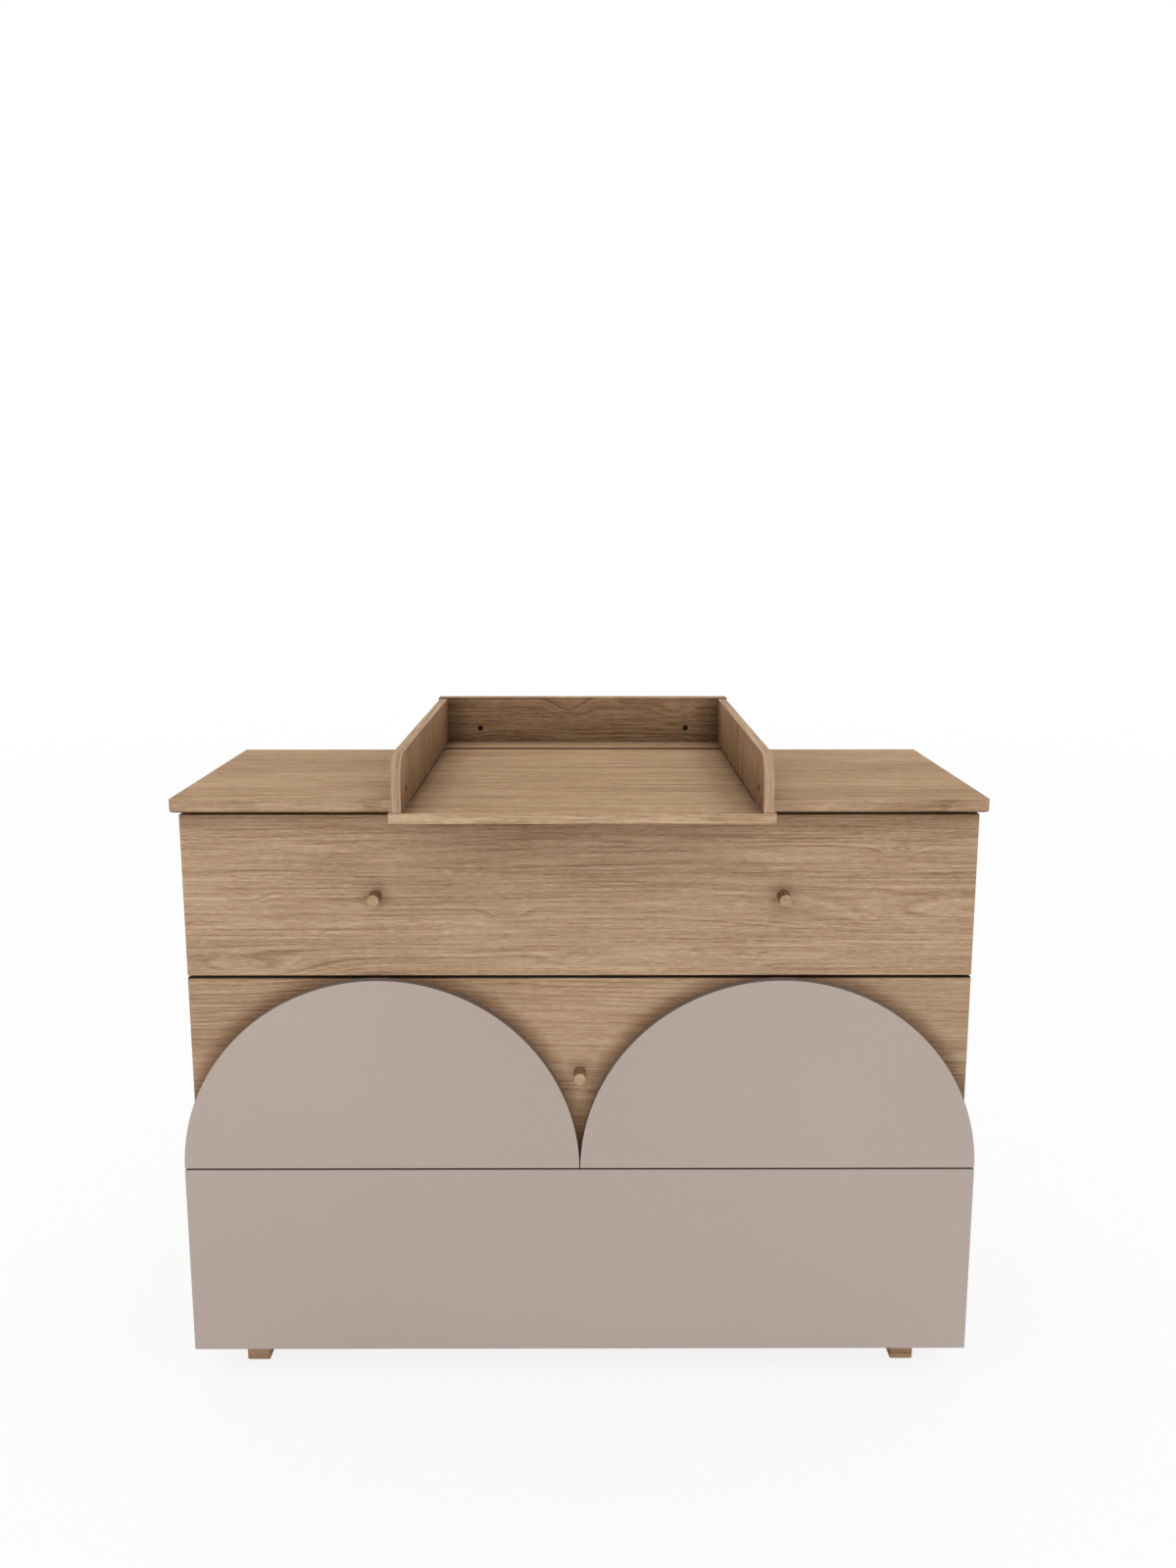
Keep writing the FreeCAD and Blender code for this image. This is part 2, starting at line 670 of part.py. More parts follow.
def arch(side):
    """Half-round lacquered facing that stands proud of the middle front."""
    body = piece(f"{side}_arch", DRAWER["middle"])
    x = signed(side, ARCH_CENTRE)
    centre = f"(middle_front_height - {ARCH_RADIUS})"
    rod(body, (x, "0", centre), "-Y", f"2 * {ARCH_RADIUS}", "facing_thick")
    reach = f"({ARCH_RADIUS} + overrun)"
    block(body, (f"{x} - {reach}", "-facing_thick - overrun", f"-2 * {reach}"),
          (f"2 * {reach}", "facing_thick + 2 * overrun", f"2 * {reach}"), cut=True)
    soften(body, "facing_edge_radius")
    for place_x, z in arch_screw_places(side):
        hole(body, (place_x, "overrun", z), "-Y", "screw_diameter", "screw_bite + screw_tip_room + overrun")


FACING_SCREWS = [
    (f"{x} * facing_screw_spacing / 2", z)
    for x in (-3, -1, 1, 3)
    for z in ("facing_screw_edge", "bottom_front_height - facing_screw_edge")
]


def bottom_facing():
    """Lacquered board over the whole bottom front, as wide as the two arches."""
    body = piece("bottom_facing", DRAWER["bottom"])
    block(body, (f"-{FACING_HALF}", "-facing_thick", "0"),
          (f"2 * {FACING_HALF}", "facing_thick", "bottom_front_height"))
    soften(body, "facing_edge_radius")
    for x, z in FACING_SCREWS:
        hole(body, (x, "overrun", z), "-Y", "screw_diameter", "screw_bite + screw_tip_room + overrun")


# Whole drawers

def drawer_box(name):
    """Everything of a drawer that lies behind its front."""
    for side in SIDES:
        box_side(name, side)
    box_back(name)
    box_floor(name)
    drawer_connectors(name)
    drawer_runners(name)
    intermediate_runners(name)


def top_drawer():
    knobs = {side: signed(side, ARCH_CENTRE) for side in SIDES}
    places = [(x, "top_front_height / 2") for x in knobs.values()]
    front_screw_holes(front_board("top"), places)
    for side, x in knobs.items():
        knob(f"top_{side}_knob", "top", x)
    front_screws("top_knob_screws", "top", places, "knob_bite")
    drawer_box("top")


def middle_drawer():
    knob_place = [("0", "middle_front_height / 2")]
    arch_places = arch_screw_places("left") + arch_screw_places("right")
    front_screw_holes(front_board("middle"), knob_place + arch_places)
    knob("middle_knob", "middle", "0")
    front_screws("middle_knob_screw", "middle", knob_place, "knob_bite")
    for side in SIDES:
        arch(side)
    front_screws("arch_screws", "middle", arch_places, "screw_bite")
    drawer_box("middle")


def bottom_drawer():
    front_screw_holes(front_board("bottom"), FACING_SCREWS)
    bottom_facing()
    front_screws("facing_screws", "bottom", FACING_SCREWS, "screw_bite")
    drawer_box("bottom")


# Changing tray

WALL_RUN = "(tray_overhang + top_depth + tray_back_clear)"
STRIP_FRONT = f"({WALL_RUN} - tray_rear_strip)"
WALL_OUTER = "(tray_width / 2 - tray_wall_inset)"
WALL_MIDDLE = f"({WALL_OUTER} - tray_board / 2)"
TRAY_HALF = f"({WALL_OUTER} - tray_board - tray_gap)"
BACK_HALF = "(tray_width / 2 - tray_back_inset)"
BARREL_LEVEL = "(tray_board + barrel_height)"
BARREL_SINK = "(barrel_depth - barrel_length)"
BOLT_TOP = f"({BARREL_LEVEL} + barrel_diameter / 2 + bolt_tip)"

# Upright bolts: two behind the floor's front edge and two under the back wall
WALL_BOLTS = {side: (signed(side, WALL_MIDDLE), "barrel_setback") for side in SIDES}
BACK_BOLTS = [(signed(side, "barrel_spread"), f"({WALL_RUN} + tray_board / 2)") for side in SIDES]
LONG_SCREWS = [
    (signed(side, WALL_MIDDLE), f"tray_board + {height}")
    for side in SIDES
    for height in ("long_screw_low", "long_screw_high")
]


def bolt_seat(body, x, y):
    """Sunk seat for a bolt's head and the bore of its shank."""
    hole(body, (x, y, "-overrun"), "+Z", "bolt_head_diameter", "bolt_head_height + overrun")
    hole(body, (x, y, "-overrun"), "+Z", "cam_bolt_diameter", "tray_board + 2 * overrun")


def tray_floor():
    """Floor board: full width in front, where the walls stand on it, and narrower between them."""
    body = piece("tray_floor", TRAY)
    block(body, ("-tray_width / 2", "0", "0"), ("tray_width", "tray_front_strip", "tray_board"))
    block(body, (f"-{TRAY_HALF}", "0", "0"), (f"2 * {TRAY_HALF}", f"{STRIP_FRONT} - tray_gap", "tray_board"))
    soften(body, "edge_radius")
    for x, y in WALL_BOLTS.values():
        bolt_seat(body, x, y)
    for x, y in TRAY_SCREWS:
        start = (f"{x} - tray_shift", f"{y} - {TOP_FRONT} + tray_overhang", "-overrun")
        hole(body, start, "+Z", "screw_diameter", "screw_bite + screw_tip_room + overrun")


def tray_rear_strip():
    """Strip behind the floor, as wide as the back wall, under it and the walls' ends."""
    body = piece("tray_rear_strip", TRAY)
    block(body, (f"-{BACK_HALF}", STRIP_FRONT, "0"),
          (f"2 * {BACK_HALF}", "tray_rear_strip + tray_back_thick", "tray_board"))
    soften(body, "edge_radius")
    for x, y in BACK_BOLTS:
        bolt_seat(body, x, y)


def tray_wall(side):
    """Side wall with a rounded front corner and a tongue that drops beside the floor."""
    body = piece(f"tray_{side}_wall", TRAY)
    inner = f"({WALL_OUTER} - tray_board)"
    x = start_of(side, inner, WALL_OUTER)
    block(body, (x, "tray_wall_setback", "tray_board"),
          ("tray_board", f"{WALL_RUN} - tray_wall_setback", "tray_wall_height"))
    soften_some(body, "tray_corner_radius", ("YMin", "ZMax"))
    tongue_front = "(tray_front_strip + tray_gap)"
    block(body, (x, tongue_front, "0"),
          ("tray_board", f"{STRIP_FRONT} - tray_gap - {tongue_front}", "tray_board + tray_wall_height / 2"))
    soften(body, "edge_radius")
    bolt_x, bolt_y = WALL_BOLTS[side]
    hole(body, (bolt_x, bolt_y, "tray_board - overrun"), "+Z", "cam_bolt_diameter",
         f"{BOLT_TOP} - tray_board + screw_tip_room + overrun")
    hole(body, (signed(side, f"{inner} - overrun"), bolt_y, BARREL_LEVEL), OUTWARD[side],
         "barrel_diameter", "barrel_depth + hole_clear + overrun")
    for screw_x, z in LONG_SCREWS:
        if screw_x == signed(side, WALL_MIDDLE):
            hole(body, (screw_x, f"{WALL_RUN} + overrun", z), "-Y", "long_screw_diameter",
                 "long_screw_bite + screw_tip_room + overrun")


def tray_back_wall():
    """Thick back wall, a little higher and wider than the side walls, behind the dresser's top."""
    body = piece("tray_back_wall", TRAY)
    block(body, (f"-{BACK_HALF}", WALL_RUN, "tray_board"),
          (f"2 * {BACK_HALF}", "tray_back_thick", "tray_wall_height + tray_back_rise"))
    soften(body, "edge_radius")
    for x, y in BACK_BOLTS:
        hole(body, (x, y, "tray_board - overrun"), "+Z", "cam_bolt_diameter",
             f"{BOLT_TOP} - tray_board + screw_tip_room + overrun")
        hole(body, (x, f"{WALL_RUN} - overrun", BARREL_LEVEL), "+Y", "barrel_diameter",
             "barrel_depth + hole_clear + overrun")
    for x, z in LONG_SCREWS:
        hole(body, (x, f"{WALL_RUN} - overrun", z), "+Y", "long_screw_diameter",
             "tray_back_thick + 2 * overrun")


def barrel_nut(start, way, bolt_x, bolt_y):
    """Cross-bored round nut at the bottom of its hole, sunk below the wall's face."""
    nut = bar(start, way, "barrel_diameter", "barrel_length")
    thread = bar((bolt_x, bolt_y, f"{BARREL_LEVEL} - barrel_diameter"), "+Z",
                 "(cam_bolt_diameter + 2 * hole_clear)", "2 * barrel_diameter")
    bored = doc.addObject("Part::Cut", "BarrelNut")
    bored.Base = nut
    bored.Tool = thread
    return bored


def tray_bolt(x, y):
    """Upright bolt with a flat sunk head."""
    shank = bar((x, y, "0"), "+Z", "cam_bolt_diameter", BOLT_TOP)
    head = bar((x, y, "0"), "+Z", "bolt_head_diameter", "bolt_head_height")
    joined = doc.addObject("Part::MultiFuse", "Bolt")
    joined.Shapes = [shank, head]
    return joined


def tray_fasteners():
    inner = f"({WALL_OUTER} - tray_board)"
    nuts = []
    for side, (x, y) in WALL_BOLTS.items():
        face = signed(side, f"{inner} + {BARREL_SINK}")
        nuts.append(barrel_nut((face, y, BARREL_LEVEL), OUTWARD[side], x, y))
    for x, y in BACK_BOLTS:
        nuts.append(barrel_nut((x, f"{WALL_RUN} + {BARREL_SINK}", BARREL_LEVEL), "+Y", x, y))
    group("tray_barrel_nuts", TRAY, nuts)
    group("tray_bolts", TRAY, [tray_bolt(x, y) for x, y in [*WALL_BOLTS.values(), *BACK_BOLTS]])
    back = f"{WALL_RUN} + tray_back_thick"
    long_screws = [
        screw((x, back, z), "-Y", "tray_back_thick + long_screw_bite",
              "long_screw_diameter", "long_screw_head")
        for x, z in LONG_SCREWS
    ]
    group("tray_wall_screws", TRAY, long_screws)


# Build the cabinet
top_panel()
for side in SIDES:
    side_panel(side)
bottom_panel()
back_panel()
for end in RAIL_MIDDLE:
    rail(end)
for end in FOOT_Y:
    for side in SIDES:
        foot(end, side)
wall_bracket()
panel_screws()
carcass_connectors()
front_bumpers()
cabinet_runners()

# Build the three drawers
top_drawer()
middle_drawer()
bottom_drawer()

# Build the changing tray
tray_floor()
tray_rear_strip()
for side in SIDES:
    tray_wall(side)
tray_back_wall()
tray_fasteners()

doc.recompute()

# Check every object and every piece, then write the pieces
for thing in doc.Objects:
    if "Invalid" in thing.State or "Error" in thing.State:
        raise RuntimeError(f"{thing.Label} failed: {thing.State}")
    if "Subtractive" in thing.TypeId and thing.Shape.Volume >= thing.BaseFeature.Shape.Volume:
        raise RuntimeError(f"{thing.Label} takes nothing away")
for node in nodes:
    shape = node.Shape
    if shape.isNull() or not shape.isValid() or not shape.Solids:
        raise RuntimeError(f"{node.Label} has no valid solid")
for node in nodes:
    node.Shape.exportStep(f"parts/{node.Label}.step")
    box = node.Shape.BoundBox
    print(f"{node.Label}: {len(node.Shape.Solids)} solid(s), {box.XLength:.1f} x {box.YLength:.1f}"
          f" x {box.ZLength:.1f} mm, {node.Shape.Volume:.0f} mm3")
print(f"{len(nodes)} nodes")
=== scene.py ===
import math
import bpy
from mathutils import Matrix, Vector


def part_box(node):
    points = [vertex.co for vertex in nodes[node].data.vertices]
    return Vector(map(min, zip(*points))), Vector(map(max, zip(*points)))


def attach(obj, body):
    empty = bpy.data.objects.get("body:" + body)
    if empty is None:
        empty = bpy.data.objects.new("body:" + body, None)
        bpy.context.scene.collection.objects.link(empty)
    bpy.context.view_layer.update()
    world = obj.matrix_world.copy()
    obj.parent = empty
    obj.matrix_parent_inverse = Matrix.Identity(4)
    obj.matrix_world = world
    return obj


# Nursery dresser: three drawers in a light oak cabinet, two half-round facings and one plain
# facing in taupe lacquer, and a changing tray screwed onto the top. Lengths are in metres.
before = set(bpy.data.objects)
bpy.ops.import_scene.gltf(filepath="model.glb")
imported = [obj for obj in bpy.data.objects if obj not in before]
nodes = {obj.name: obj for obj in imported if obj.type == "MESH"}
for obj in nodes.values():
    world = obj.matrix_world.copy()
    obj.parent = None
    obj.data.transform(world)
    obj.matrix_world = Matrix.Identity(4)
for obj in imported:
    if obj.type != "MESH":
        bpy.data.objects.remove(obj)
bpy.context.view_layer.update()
scene = bpy.context.scene
scene.view_settings.view_transform = "Standard"


# Camera
# It stands a good two metres before the dresser, a little above the tray, and looks slightly down.
FOCAL_LENGTH, SENSOR_HEIGHT = 30.98, 36  # in millimetres
CAMERA_PLACE = (0.00676, -2.0790, 1.2914)
LOOKS_DOWN, LOOKS_ASIDE = 10.453, -0.1675  # in degrees
lens = bpy.data.cameras.new("camera")
lens.sensor_fit = "VERTICAL"
lens.sensor_height = SENSOR_HEIGHT
lens.lens = FOCAL_LENGTH
camera = bpy.data.objects.new("camera", lens)
camera.location = CAMERA_PLACE
camera.rotation_euler = (math.radians(90 - LOOKS_DOWN), 0, math.radians(LOOKS_ASIDE))
scene.collection.objects.link(camera)
scene.camera = camera


# Floor, surroundings and lamp
# A plain pale floor that fades into a white surrounding, a little brighter overhead, and one wide
# soft lamp above and before the dresser.
def join(tree, value, socket):
    """Feed an input from another node's output, or set it to a plain number or colour."""
    if isinstance(value, bpy.types.NodeSocket):
        tree.links.new(value, socket)
    else:
        socket.default_value = value


def node(tree, kind, sockets=(), **settings):
    """One node with its settings and its inputs, each given by name or number."""
    made = tree.nodes.new(kind)
    for name, value in settings.items():
        setattr(made, name, value)
    for name, value in dict(sockets).items():
        join(tree, value, made.inputs[name])
    return made


def sums(tree, operation, *values):
    """The result of one sum on plain numbers or outputs."""
    return node(tree, "ShaderNodeMath", enumerate(values), operation=operation).outputs[0]


def vectors(tree, operation, *values):
    """The result of one sum on vectors, which is a number for a length, distance or dot product."""
    made = node(tree, "ShaderNodeVectorMath", enumerate(values), operation=operation)
    number = operation in ("LENGTH", "DISTANCE", "DOT_PRODUCT")
    return made.outputs["Value" if number else "Vector"]


def own(tree, kind):
    """The object's own coordinates or normal."""
    return node(tree, "ShaderNodeTexCoord").outputs[kind]


def xyz(tree, vector):
    """A vector's X, Y and Z."""
    return node(tree, "ShaderNodeSeparateXYZ", {0: vector}).outputs


def between(tree, value, first, last):
    """What runs from first to last as a value runs from nought to one."""
    return sums(tree, "MULTIPLY_ADD", value, last - first, first)


def noise(tree, place, scale, detail, **more):
    """Soft noise, its patches 1/scale wide."""
    sockets = {"Vector": place, "Scale": scale, "Detail": detail, **more}
    return node(tree, "ShaderNodeTexNoise", sockets).outputs["Fac"]


def ranged(tree, value, start, end, first, last, curve="LINEAR"):
    """A value between start and end turned into one between first and last."""
    sockets = {"Value": value, "From Min": start, "From Max": end, "To Min": first, "To Max": last}
    return node(tree, "ShaderNodeMapRange", sockets, interpolation_type=curve).outputs["Result"]


def bumped(tree, height, strength, depth, shader):
    """Give a shader a fine relief."""
    bump = node(tree, "ShaderNodeBump", {"Height": height, "Strength": strength, "Distance": depth})
    join(tree, bump.outputs["Normal"], shader.inputs["Normal"])


def seen_white(tree):
    """One where a camera, mirror or glass looks straight at a surface, nought for light on it."""
    path = node(tree, "ShaderNodeLightPath").outputs
    direct = sums(tree, "MAXIMUM", path["Is Camera Ray"], path["Is Glossy Ray"])
    return sums(tree, "MAXIMUM", direct, path["Is Transmission Ray"])


WHITE = (1, 1, 1, 1)
SKY_LEVEL, SKY_OVERHEAD = 0.83, 1.03
world = bpy.data.worlds.new("surroundings")
scene.world = world
world.use_nodes = True
tree = world.node_tree
tree.nodes.clear()
upwards = sums(tree, "MAXIMUM", xyz(tree, own(tree, "Object"))["Z"], 0.0)
dome = between(tree, upwards, SKY_LEVEL, SKY_OVERHEAD)
strength = sums(tree, "MULTIPLY_ADD", sums(tree, "SUBTRACT", 1.0, dome), seen_white(tree), dome)
sky = node(tree, "ShaderNodeBackground", {"Color": WHITE, "Strength": strength})
join(tree, sky.outputs[0], node(tree, "ShaderNodeOutputWorld").inputs["Surface"])

FLOOR_GREY = (0.88, 0.88, 0.88, 1)
FADE_START, FADE_END = 2.5, 9.0
NEAR_WHITE = 0.86
floor_paint = bpy.data.materials.new("pale_floor")
floor_paint.use_nodes = True
tree = floor_paint.node_tree
tree.nodes.clear()
place = own(tree, "Object")
fading = ranged(tree, vectors(tree, "LENGTH", place), FADE_START, FADE_END, NEAR_WHITE, 1.0)
matt = node(tree, "ShaderNodeBsdfPrincipled", {"Base Color": FLOOR_GREY, "Roughness": 0.9})
bumped(tree, noise(tree, place, scale=260.0, detail=3.0), strength=0.2, depth=0.0005, shader=matt)
glow = node(tree, "ShaderNodeEmission", {"Color": WHITE, "Strength": 1.0})
share = sums(tree, "MULTIPLY", seen_white(tree), fading)
both = node(tree, "ShaderNodeMixShader", {0: share, 1: matt.outputs[0], 2: glow.outputs[0]})
join(tree, both.outputs[0], node(tree, "ShaderNodeOutputMaterial").inputs["Surface"])

FLOOR_RADIUS, FLOOR_CORNERS = 14.0, 96
mesh = bpy.data.meshes.new("floor")
rim = [(FLOOR_RADIUS * math.cos(turn), FLOOR_RADIUS * math.sin(turn), 0)
       for turn in (math.tau * step / FLOOR_CORNERS for step in range(FLOOR_CORNERS))]
mesh.from_pydata(rim, [], [list(range(FLOOR_CORNERS))])
mesh.materials.append(floor_paint)
floor = bpy.data.objects.new("floor", mesh)
scene.collection.objects.link(floor)

LAMP_PLACE, LAMP_TARGET = Vector((0, -3.2, 2.9)), Vector((0, -0.1, 0.6))
LAMP_WIDTH, LAMP_DEPTH, LAMP_WATTS = 3.6, 2.4, 16
light = bpy.data.lights.new("overhead_lamp", "AREA")
light.shape = "RECTANGLE"
light.size, light.size_y = LAMP_WIDTH, LAMP_DEPTH
light.energy = LAMP_WATTS
lamp = bpy.data.objects.new("overhead_lamp", light)
lamp.location = LAMP_PLACE
lamp.rotation_euler = (LAMP_TARGET - LAMP_PLACE).to_track_quat("-Z", "Y").to_euler()
lamp.visible_camera = False
scene.collection.objects.link(lamp)


# Top panel
# Board with an oak decor whose rings run along it and carry on over its front edge. A light matt
# finish leaves the pores open. The two rounded front corners are banded.
def group(name, inputs, outputs):
    """A shader node group with named inputs, each with its kind and value, and named outputs."""
    tree = bpy.data.node_groups.new(name, "ShaderNodeTree")
    for word, (kind, value) in inputs.items():
        socket = tree.interface.new_socket(word, in_out="INPUT", socket_type="NodeSocket" + kind)
        socket.default_value = value
    for word, kind in outputs.items():
        tree.interface.new_socket(word, in_out="OUTPUT", socket_type="NodeSocket" + kind)
    return tree, tree.nodes.new("NodeGroupInput").outputs, tree.nodes.new("NodeGroupOutput").inputs


def placed(tree, effect, values):
    """The outputs of a group placed in a material with its own values."""
    return node(tree, "ShaderNodeGroup", values, node_tree=effect).outputs


def vector_of(tree, x, y, z):
    """The vector of three numbers."""
    return node(tree, "ShaderNodeCombineXYZ", {0: x, 1: y, 2: z}).outputs[0]


def stretched(tree, place, along, across, detail=2.0, roughness=0.5):
    """Noise drawn out along the grain: its patches are 1/along long and 1/across wide."""
    scaled = vectors(tree, "MULTIPLY", place, (along, across, across))
    return noise(tree, scaled, 1.0, detail, Roughness=roughness)


def centred(tree, value, amount):
    """Noise moved to lie about nought and given a strength."""
    return between(tree, value, -amount, amount)


NO_PLACE = (0.0, 0.0, 0.0)
SEED_STEPS = (1.37, 0.71, 2.13)
STREAKS_ALONG, STREAKS_PER_RING, STREAK_CONTRAST = 2.6, 1.15, 0.62
RING_SHARPNESS, RING_END = 3.4, 0.88
FAINTEST_RING, BOLDEST_RING = 0.15, 1.05
PORE_START, PORE_FULL = 0.60, 0.72
PLAIN_TONE, RING_DARKNESS, PORE_DARKNESS = 0.60, -2.0, -0.20
RING_DEPTH, PORE_DEPTH = -0.6, -0.7

# Growth rings, fibres and pores. X of Place runs along the grain, Y across it. Rings are counted
# across the board; slow and wavy noise and the eyes bend them, and streaks follow their flow.
oak_grain, given, result = group(
    "oak grain",
    {"Place": ("Vector", NO_PLACE), "Seed": ("Float", 0.0), "Rings": ("Float", 120.0),
     "Drift": ("Float", 7.0), "Waves": ("Float", 1.2), "Figure": ("Float", 0.0),
     "Contrast": ("Float", 1.0), "Fibres": ("Float", 1.0)},
    {"Tone": "Float", "Relief": "Float"})
tree = oak_grain
shift = vector_of(tree, *(sums(tree, "MULTIPLY", given["Seed"], step) for step in SEED_STEPS))
place = vectors(tree, "ADD", given["Place"], shift)
axes = xyz(tree, given["Place"])
slow = stretched(tree, place, along=0.9, across=5.0, detail=1.0)
wavy = stretched(tree, place, along=3.2, across=16.0, roughness=0.4)
ripple = stretched(tree, place, along=11.0, across=60.0, detail=1.0)
calm = stretched(tree, place, along=2.2, across=7.0, detail=1.0)
count = sums(tree, "MULTIPLY_ADD", axes["Y"], given["Rings"], given["Figure"])
count = sums(tree, "MULTIPLY_ADD", centred(tree, slow, 1.0), given["Drift"], count)
bend = sums(tree, "MULTIPLY", centred(tree, wavy, 1.0), sums(tree, "MULTIPLY", calm, 2.0))
count = sums(tree, "MULTIPLY_ADD", bend, given["Waves"], count)
count = sums(tree, "ADD", count, centred(tree, ripple, 0.22))
flow = vector_of(tree, sums(tree, "MULTIPLY", axes["X"], STREAKS_ALONG),
                 sums(tree, "MULTIPLY", count, STREAKS_PER_RING), given["Seed"])
streak = noise(tree, flow, 1.0, detail=4.0, Roughness=0.62)
# Each ring darkens slowly towards its late wood and ends quickly; some rings are faint
step = sums(tree, "FRACT", count)
late = sums(tree, "POWER", step, RING_SHARPNESS)
line = sums(tree, "MULTIPLY", late, ranged(tree, step, RING_END, 1.0, 1.0, 0.0, "SMOOTHSTEP"))
lot = node(tree, "ShaderNodeTexWhiteNoise", {"W": sums(tree, "FLOOR", count)},
           noise_dimensions="1D").outputs["Value"]
patch = stretched(tree, place, along=4.0, across=14.0, detail=1.0)
weight = sums(tree, "MULTIPLY", between(tree, lot, FAINTEST_RING, BOLDEST_RING),
              sums(tree, "MULTIPLY", patch, patch))
line = sums(tree, "MULTIPLY", sums(tree, "MULTIPLY", line, weight), given["Contrast"])
fibre = stretched(tree, place, along=10.0, across=330.0, detail=3.0, roughness=0.6)
fine = stretched(tree, place, along=60.0, across=700.0, roughness=0.6)
blotch = stretched(tree, place, along=1.8, across=8.0)
pore = ranged(tree, stretched(tree, place, along=70.0, across=800.0, detail=1.0),
              PORE_START, PORE_FULL, 0.0, 1.0)
streaks = sums(tree, "MULTIPLY", given["Contrast"], STREAK_CONTRAST)
threads = sums(tree, "ADD", centred(tree, fibre, 0.46), centred(tree, fine, 0.40))
tone = sums(tree, "MULTIPLY_ADD", line, RING_DARKNESS, PLAIN_TONE)
tone = sums(tree, "MULTIPLY_ADD", centred(tree, streak, 1.0), streaks, tone)
tone = sums(tree, "MULTIPLY_ADD", threads, given["Fibres"], tone)
tone = sums(tree, "ADD", tone, centred(tree, blotch, 0.30))
join(tree, sums(tree, "MULTIPLY_ADD", pore, PORE_DARKNESS, tone), result["Tone"])
relief = sums(tree, "MULTIPLY_ADD", line, RING_DEPTH, centred(tree, fibre, 0.5))
join(tree, sums(tree, "MULTIPLY_ADD", pore, PORE_DEPTH, relief), result["Relief"])

# An eye in the figure, where rings close round a knot or the crown of an arch
oak_eye, given, result = group(
    "oak eye", {"Place": ("Vector", NO_PLACE), "Centre": ("Vector", NO_PLACE),
                "Size": ("Vector", (0.1, 0.02, 1.0)), "Rings": ("Float", 4.0)}, {"Figure": "Float"})
tree = oak_eye
apart = vectors(tree, "SUBTRACT", given["Place"], given["Centre"])
apart = vectors(tree, "MULTIPLY", vectors(tree, "DIVIDE", apart, given["Size"]), (1, 1, 0))
square = vectors(tree, "DOT_PRODUCT", apart, apart)
bell = sums(tree, "EXPONENT", sums(tree, "MULTIPLY", square, -1.0))
join(tree, sums(tree, "MULTIPLY", bell, given["Rings"]), result["Figure"])

# Masks, mostly for painted soft shades: faces that look one way, or along it either way, and places
# near a plane
facing_mask, given, result = group(
    "facing mask", {"Way": ("Vector", (0.0, 0.0, 1.0)), "Least": ("Float", 0.7)},
    {"One Way": "Float", "Either Way": "Float"})
tree = facing_mask
turn = vectors(tree, "DOT_PRODUCT", own(tree, "Normal"), given["Way"])
join(tree, sums(tree, "GREATER_THAN", turn, given["Least"]), result["One Way"])
join(tree, sums(tree, "GREATER_THAN", sums(tree, "ABSOLUTE", turn), given["Least"]),
     result["Either Way"])

near_mask, given, result = group(
    "near mask", {"Axis": ("Vector", (1.0, 0.0, 0.0)), "Middle": ("Float", 0.0),
                  "Reach": ("Float", 0.1)}, {"Mask": "Float"})
tree = near_mask
along = vectors(tree, "DOT_PRODUCT", own(tree, "Object"), given["Axis"])
away = sums(tree, "ABSOLUTE", sums(tree, "SUBTRACT", along, given["Middle"]))
join(tree, ranged(tree, away, 0.0, given["Reach"], 1.0, 0.0, "SMOOTHSTEP"), result["Mask"])

# A colour multiplied by a shade where a mask is one
soft_shade, given, result = group(
    "soft shade", {"Colour": ("Color", WHITE), "Mask": ("Float", 0.0),
                   "Shade": ("Vector", (1.0, 1.0, 1.0))}, {"Colour": "Color"})
tree = soft_shade
change = vectors(tree, "SUBTRACT", given["Shade"], (1, 1, 1))
amount = vectors(tree, "MULTIPLY_ADD", change, given["Mask"], (1, 1, 1))
join(tree, vectors(tree, "MULTIPLY", given["Colour"], amount), result["Colour"])


def way_of(word):
    """The direction that a word such as X or -Y stands for."""
    return tuple((-1.0 if word[0] == "-" else 1.0) * (axis == word[-1]) for axis in "XYZ")


def turned(axis, least=0.7):
    """A mask of the faces that look along an axis, either way."""
    values = {"Way": way_of(axis), "Least": least}
    return lambda tree: placed(tree, facing_mask, values)["Either Way"]


def looking(way):
    """A mask of the faces that look one way, such as Z or -Y."""
    values = {"Way": way_of(way)}
    return lambda tree: placed(tree, facing_mask, values)["One Way"]


def near(axis, middle, reach):
    """A mask that is one at a place along an axis, and softly nought at a reach from it."""
    values = {"Axis": way_of(axis), "Middle": middle, "Reach": reach}
    return lambda tree: placed(tree, near_mask, values)["Mask"]


def nook(face, axis, middle, reach):
    """A mask near a place along an axis, on faces that look one way alone."""
    return lambda tree: sums(tree, "MULTIPLY", looking(face)(tree), near(axis, middle, reach)(tree))


def dim(tree, colour, mask, shade):
    """A colour multiplied by a shade, a number or one for each channel, where a mask is one."""
    shade = shade if isinstance(shade, tuple) else (shade,) * 3
    values = {"Colour": colour, "Mask": mask(tree), "Shade": shade}
    return placed(tree, soft_shade, values)["Colour"]


def swapped(tree, where, plain, other):
    """One place for a pattern, and another where a mask is one."""
    mixed = node(tree, "ShaderNodeMix", data_type="VECTOR")
    for value, socket in ((where, mixed.inputs["Factor"]), (plain, mixed.inputs[4]),
                          (other, mixed.inputs[5])):
        join(tree, value, socket)
    return mixed.outputs[1]


# The axes that run along, across and through a board, for each way that its grain lies
BOARD_AXES = {"X": "XZY", "XY": "XYZ", "Z": "ZXY", "Y": "YZX"}
BAND_PLACE = 0.3


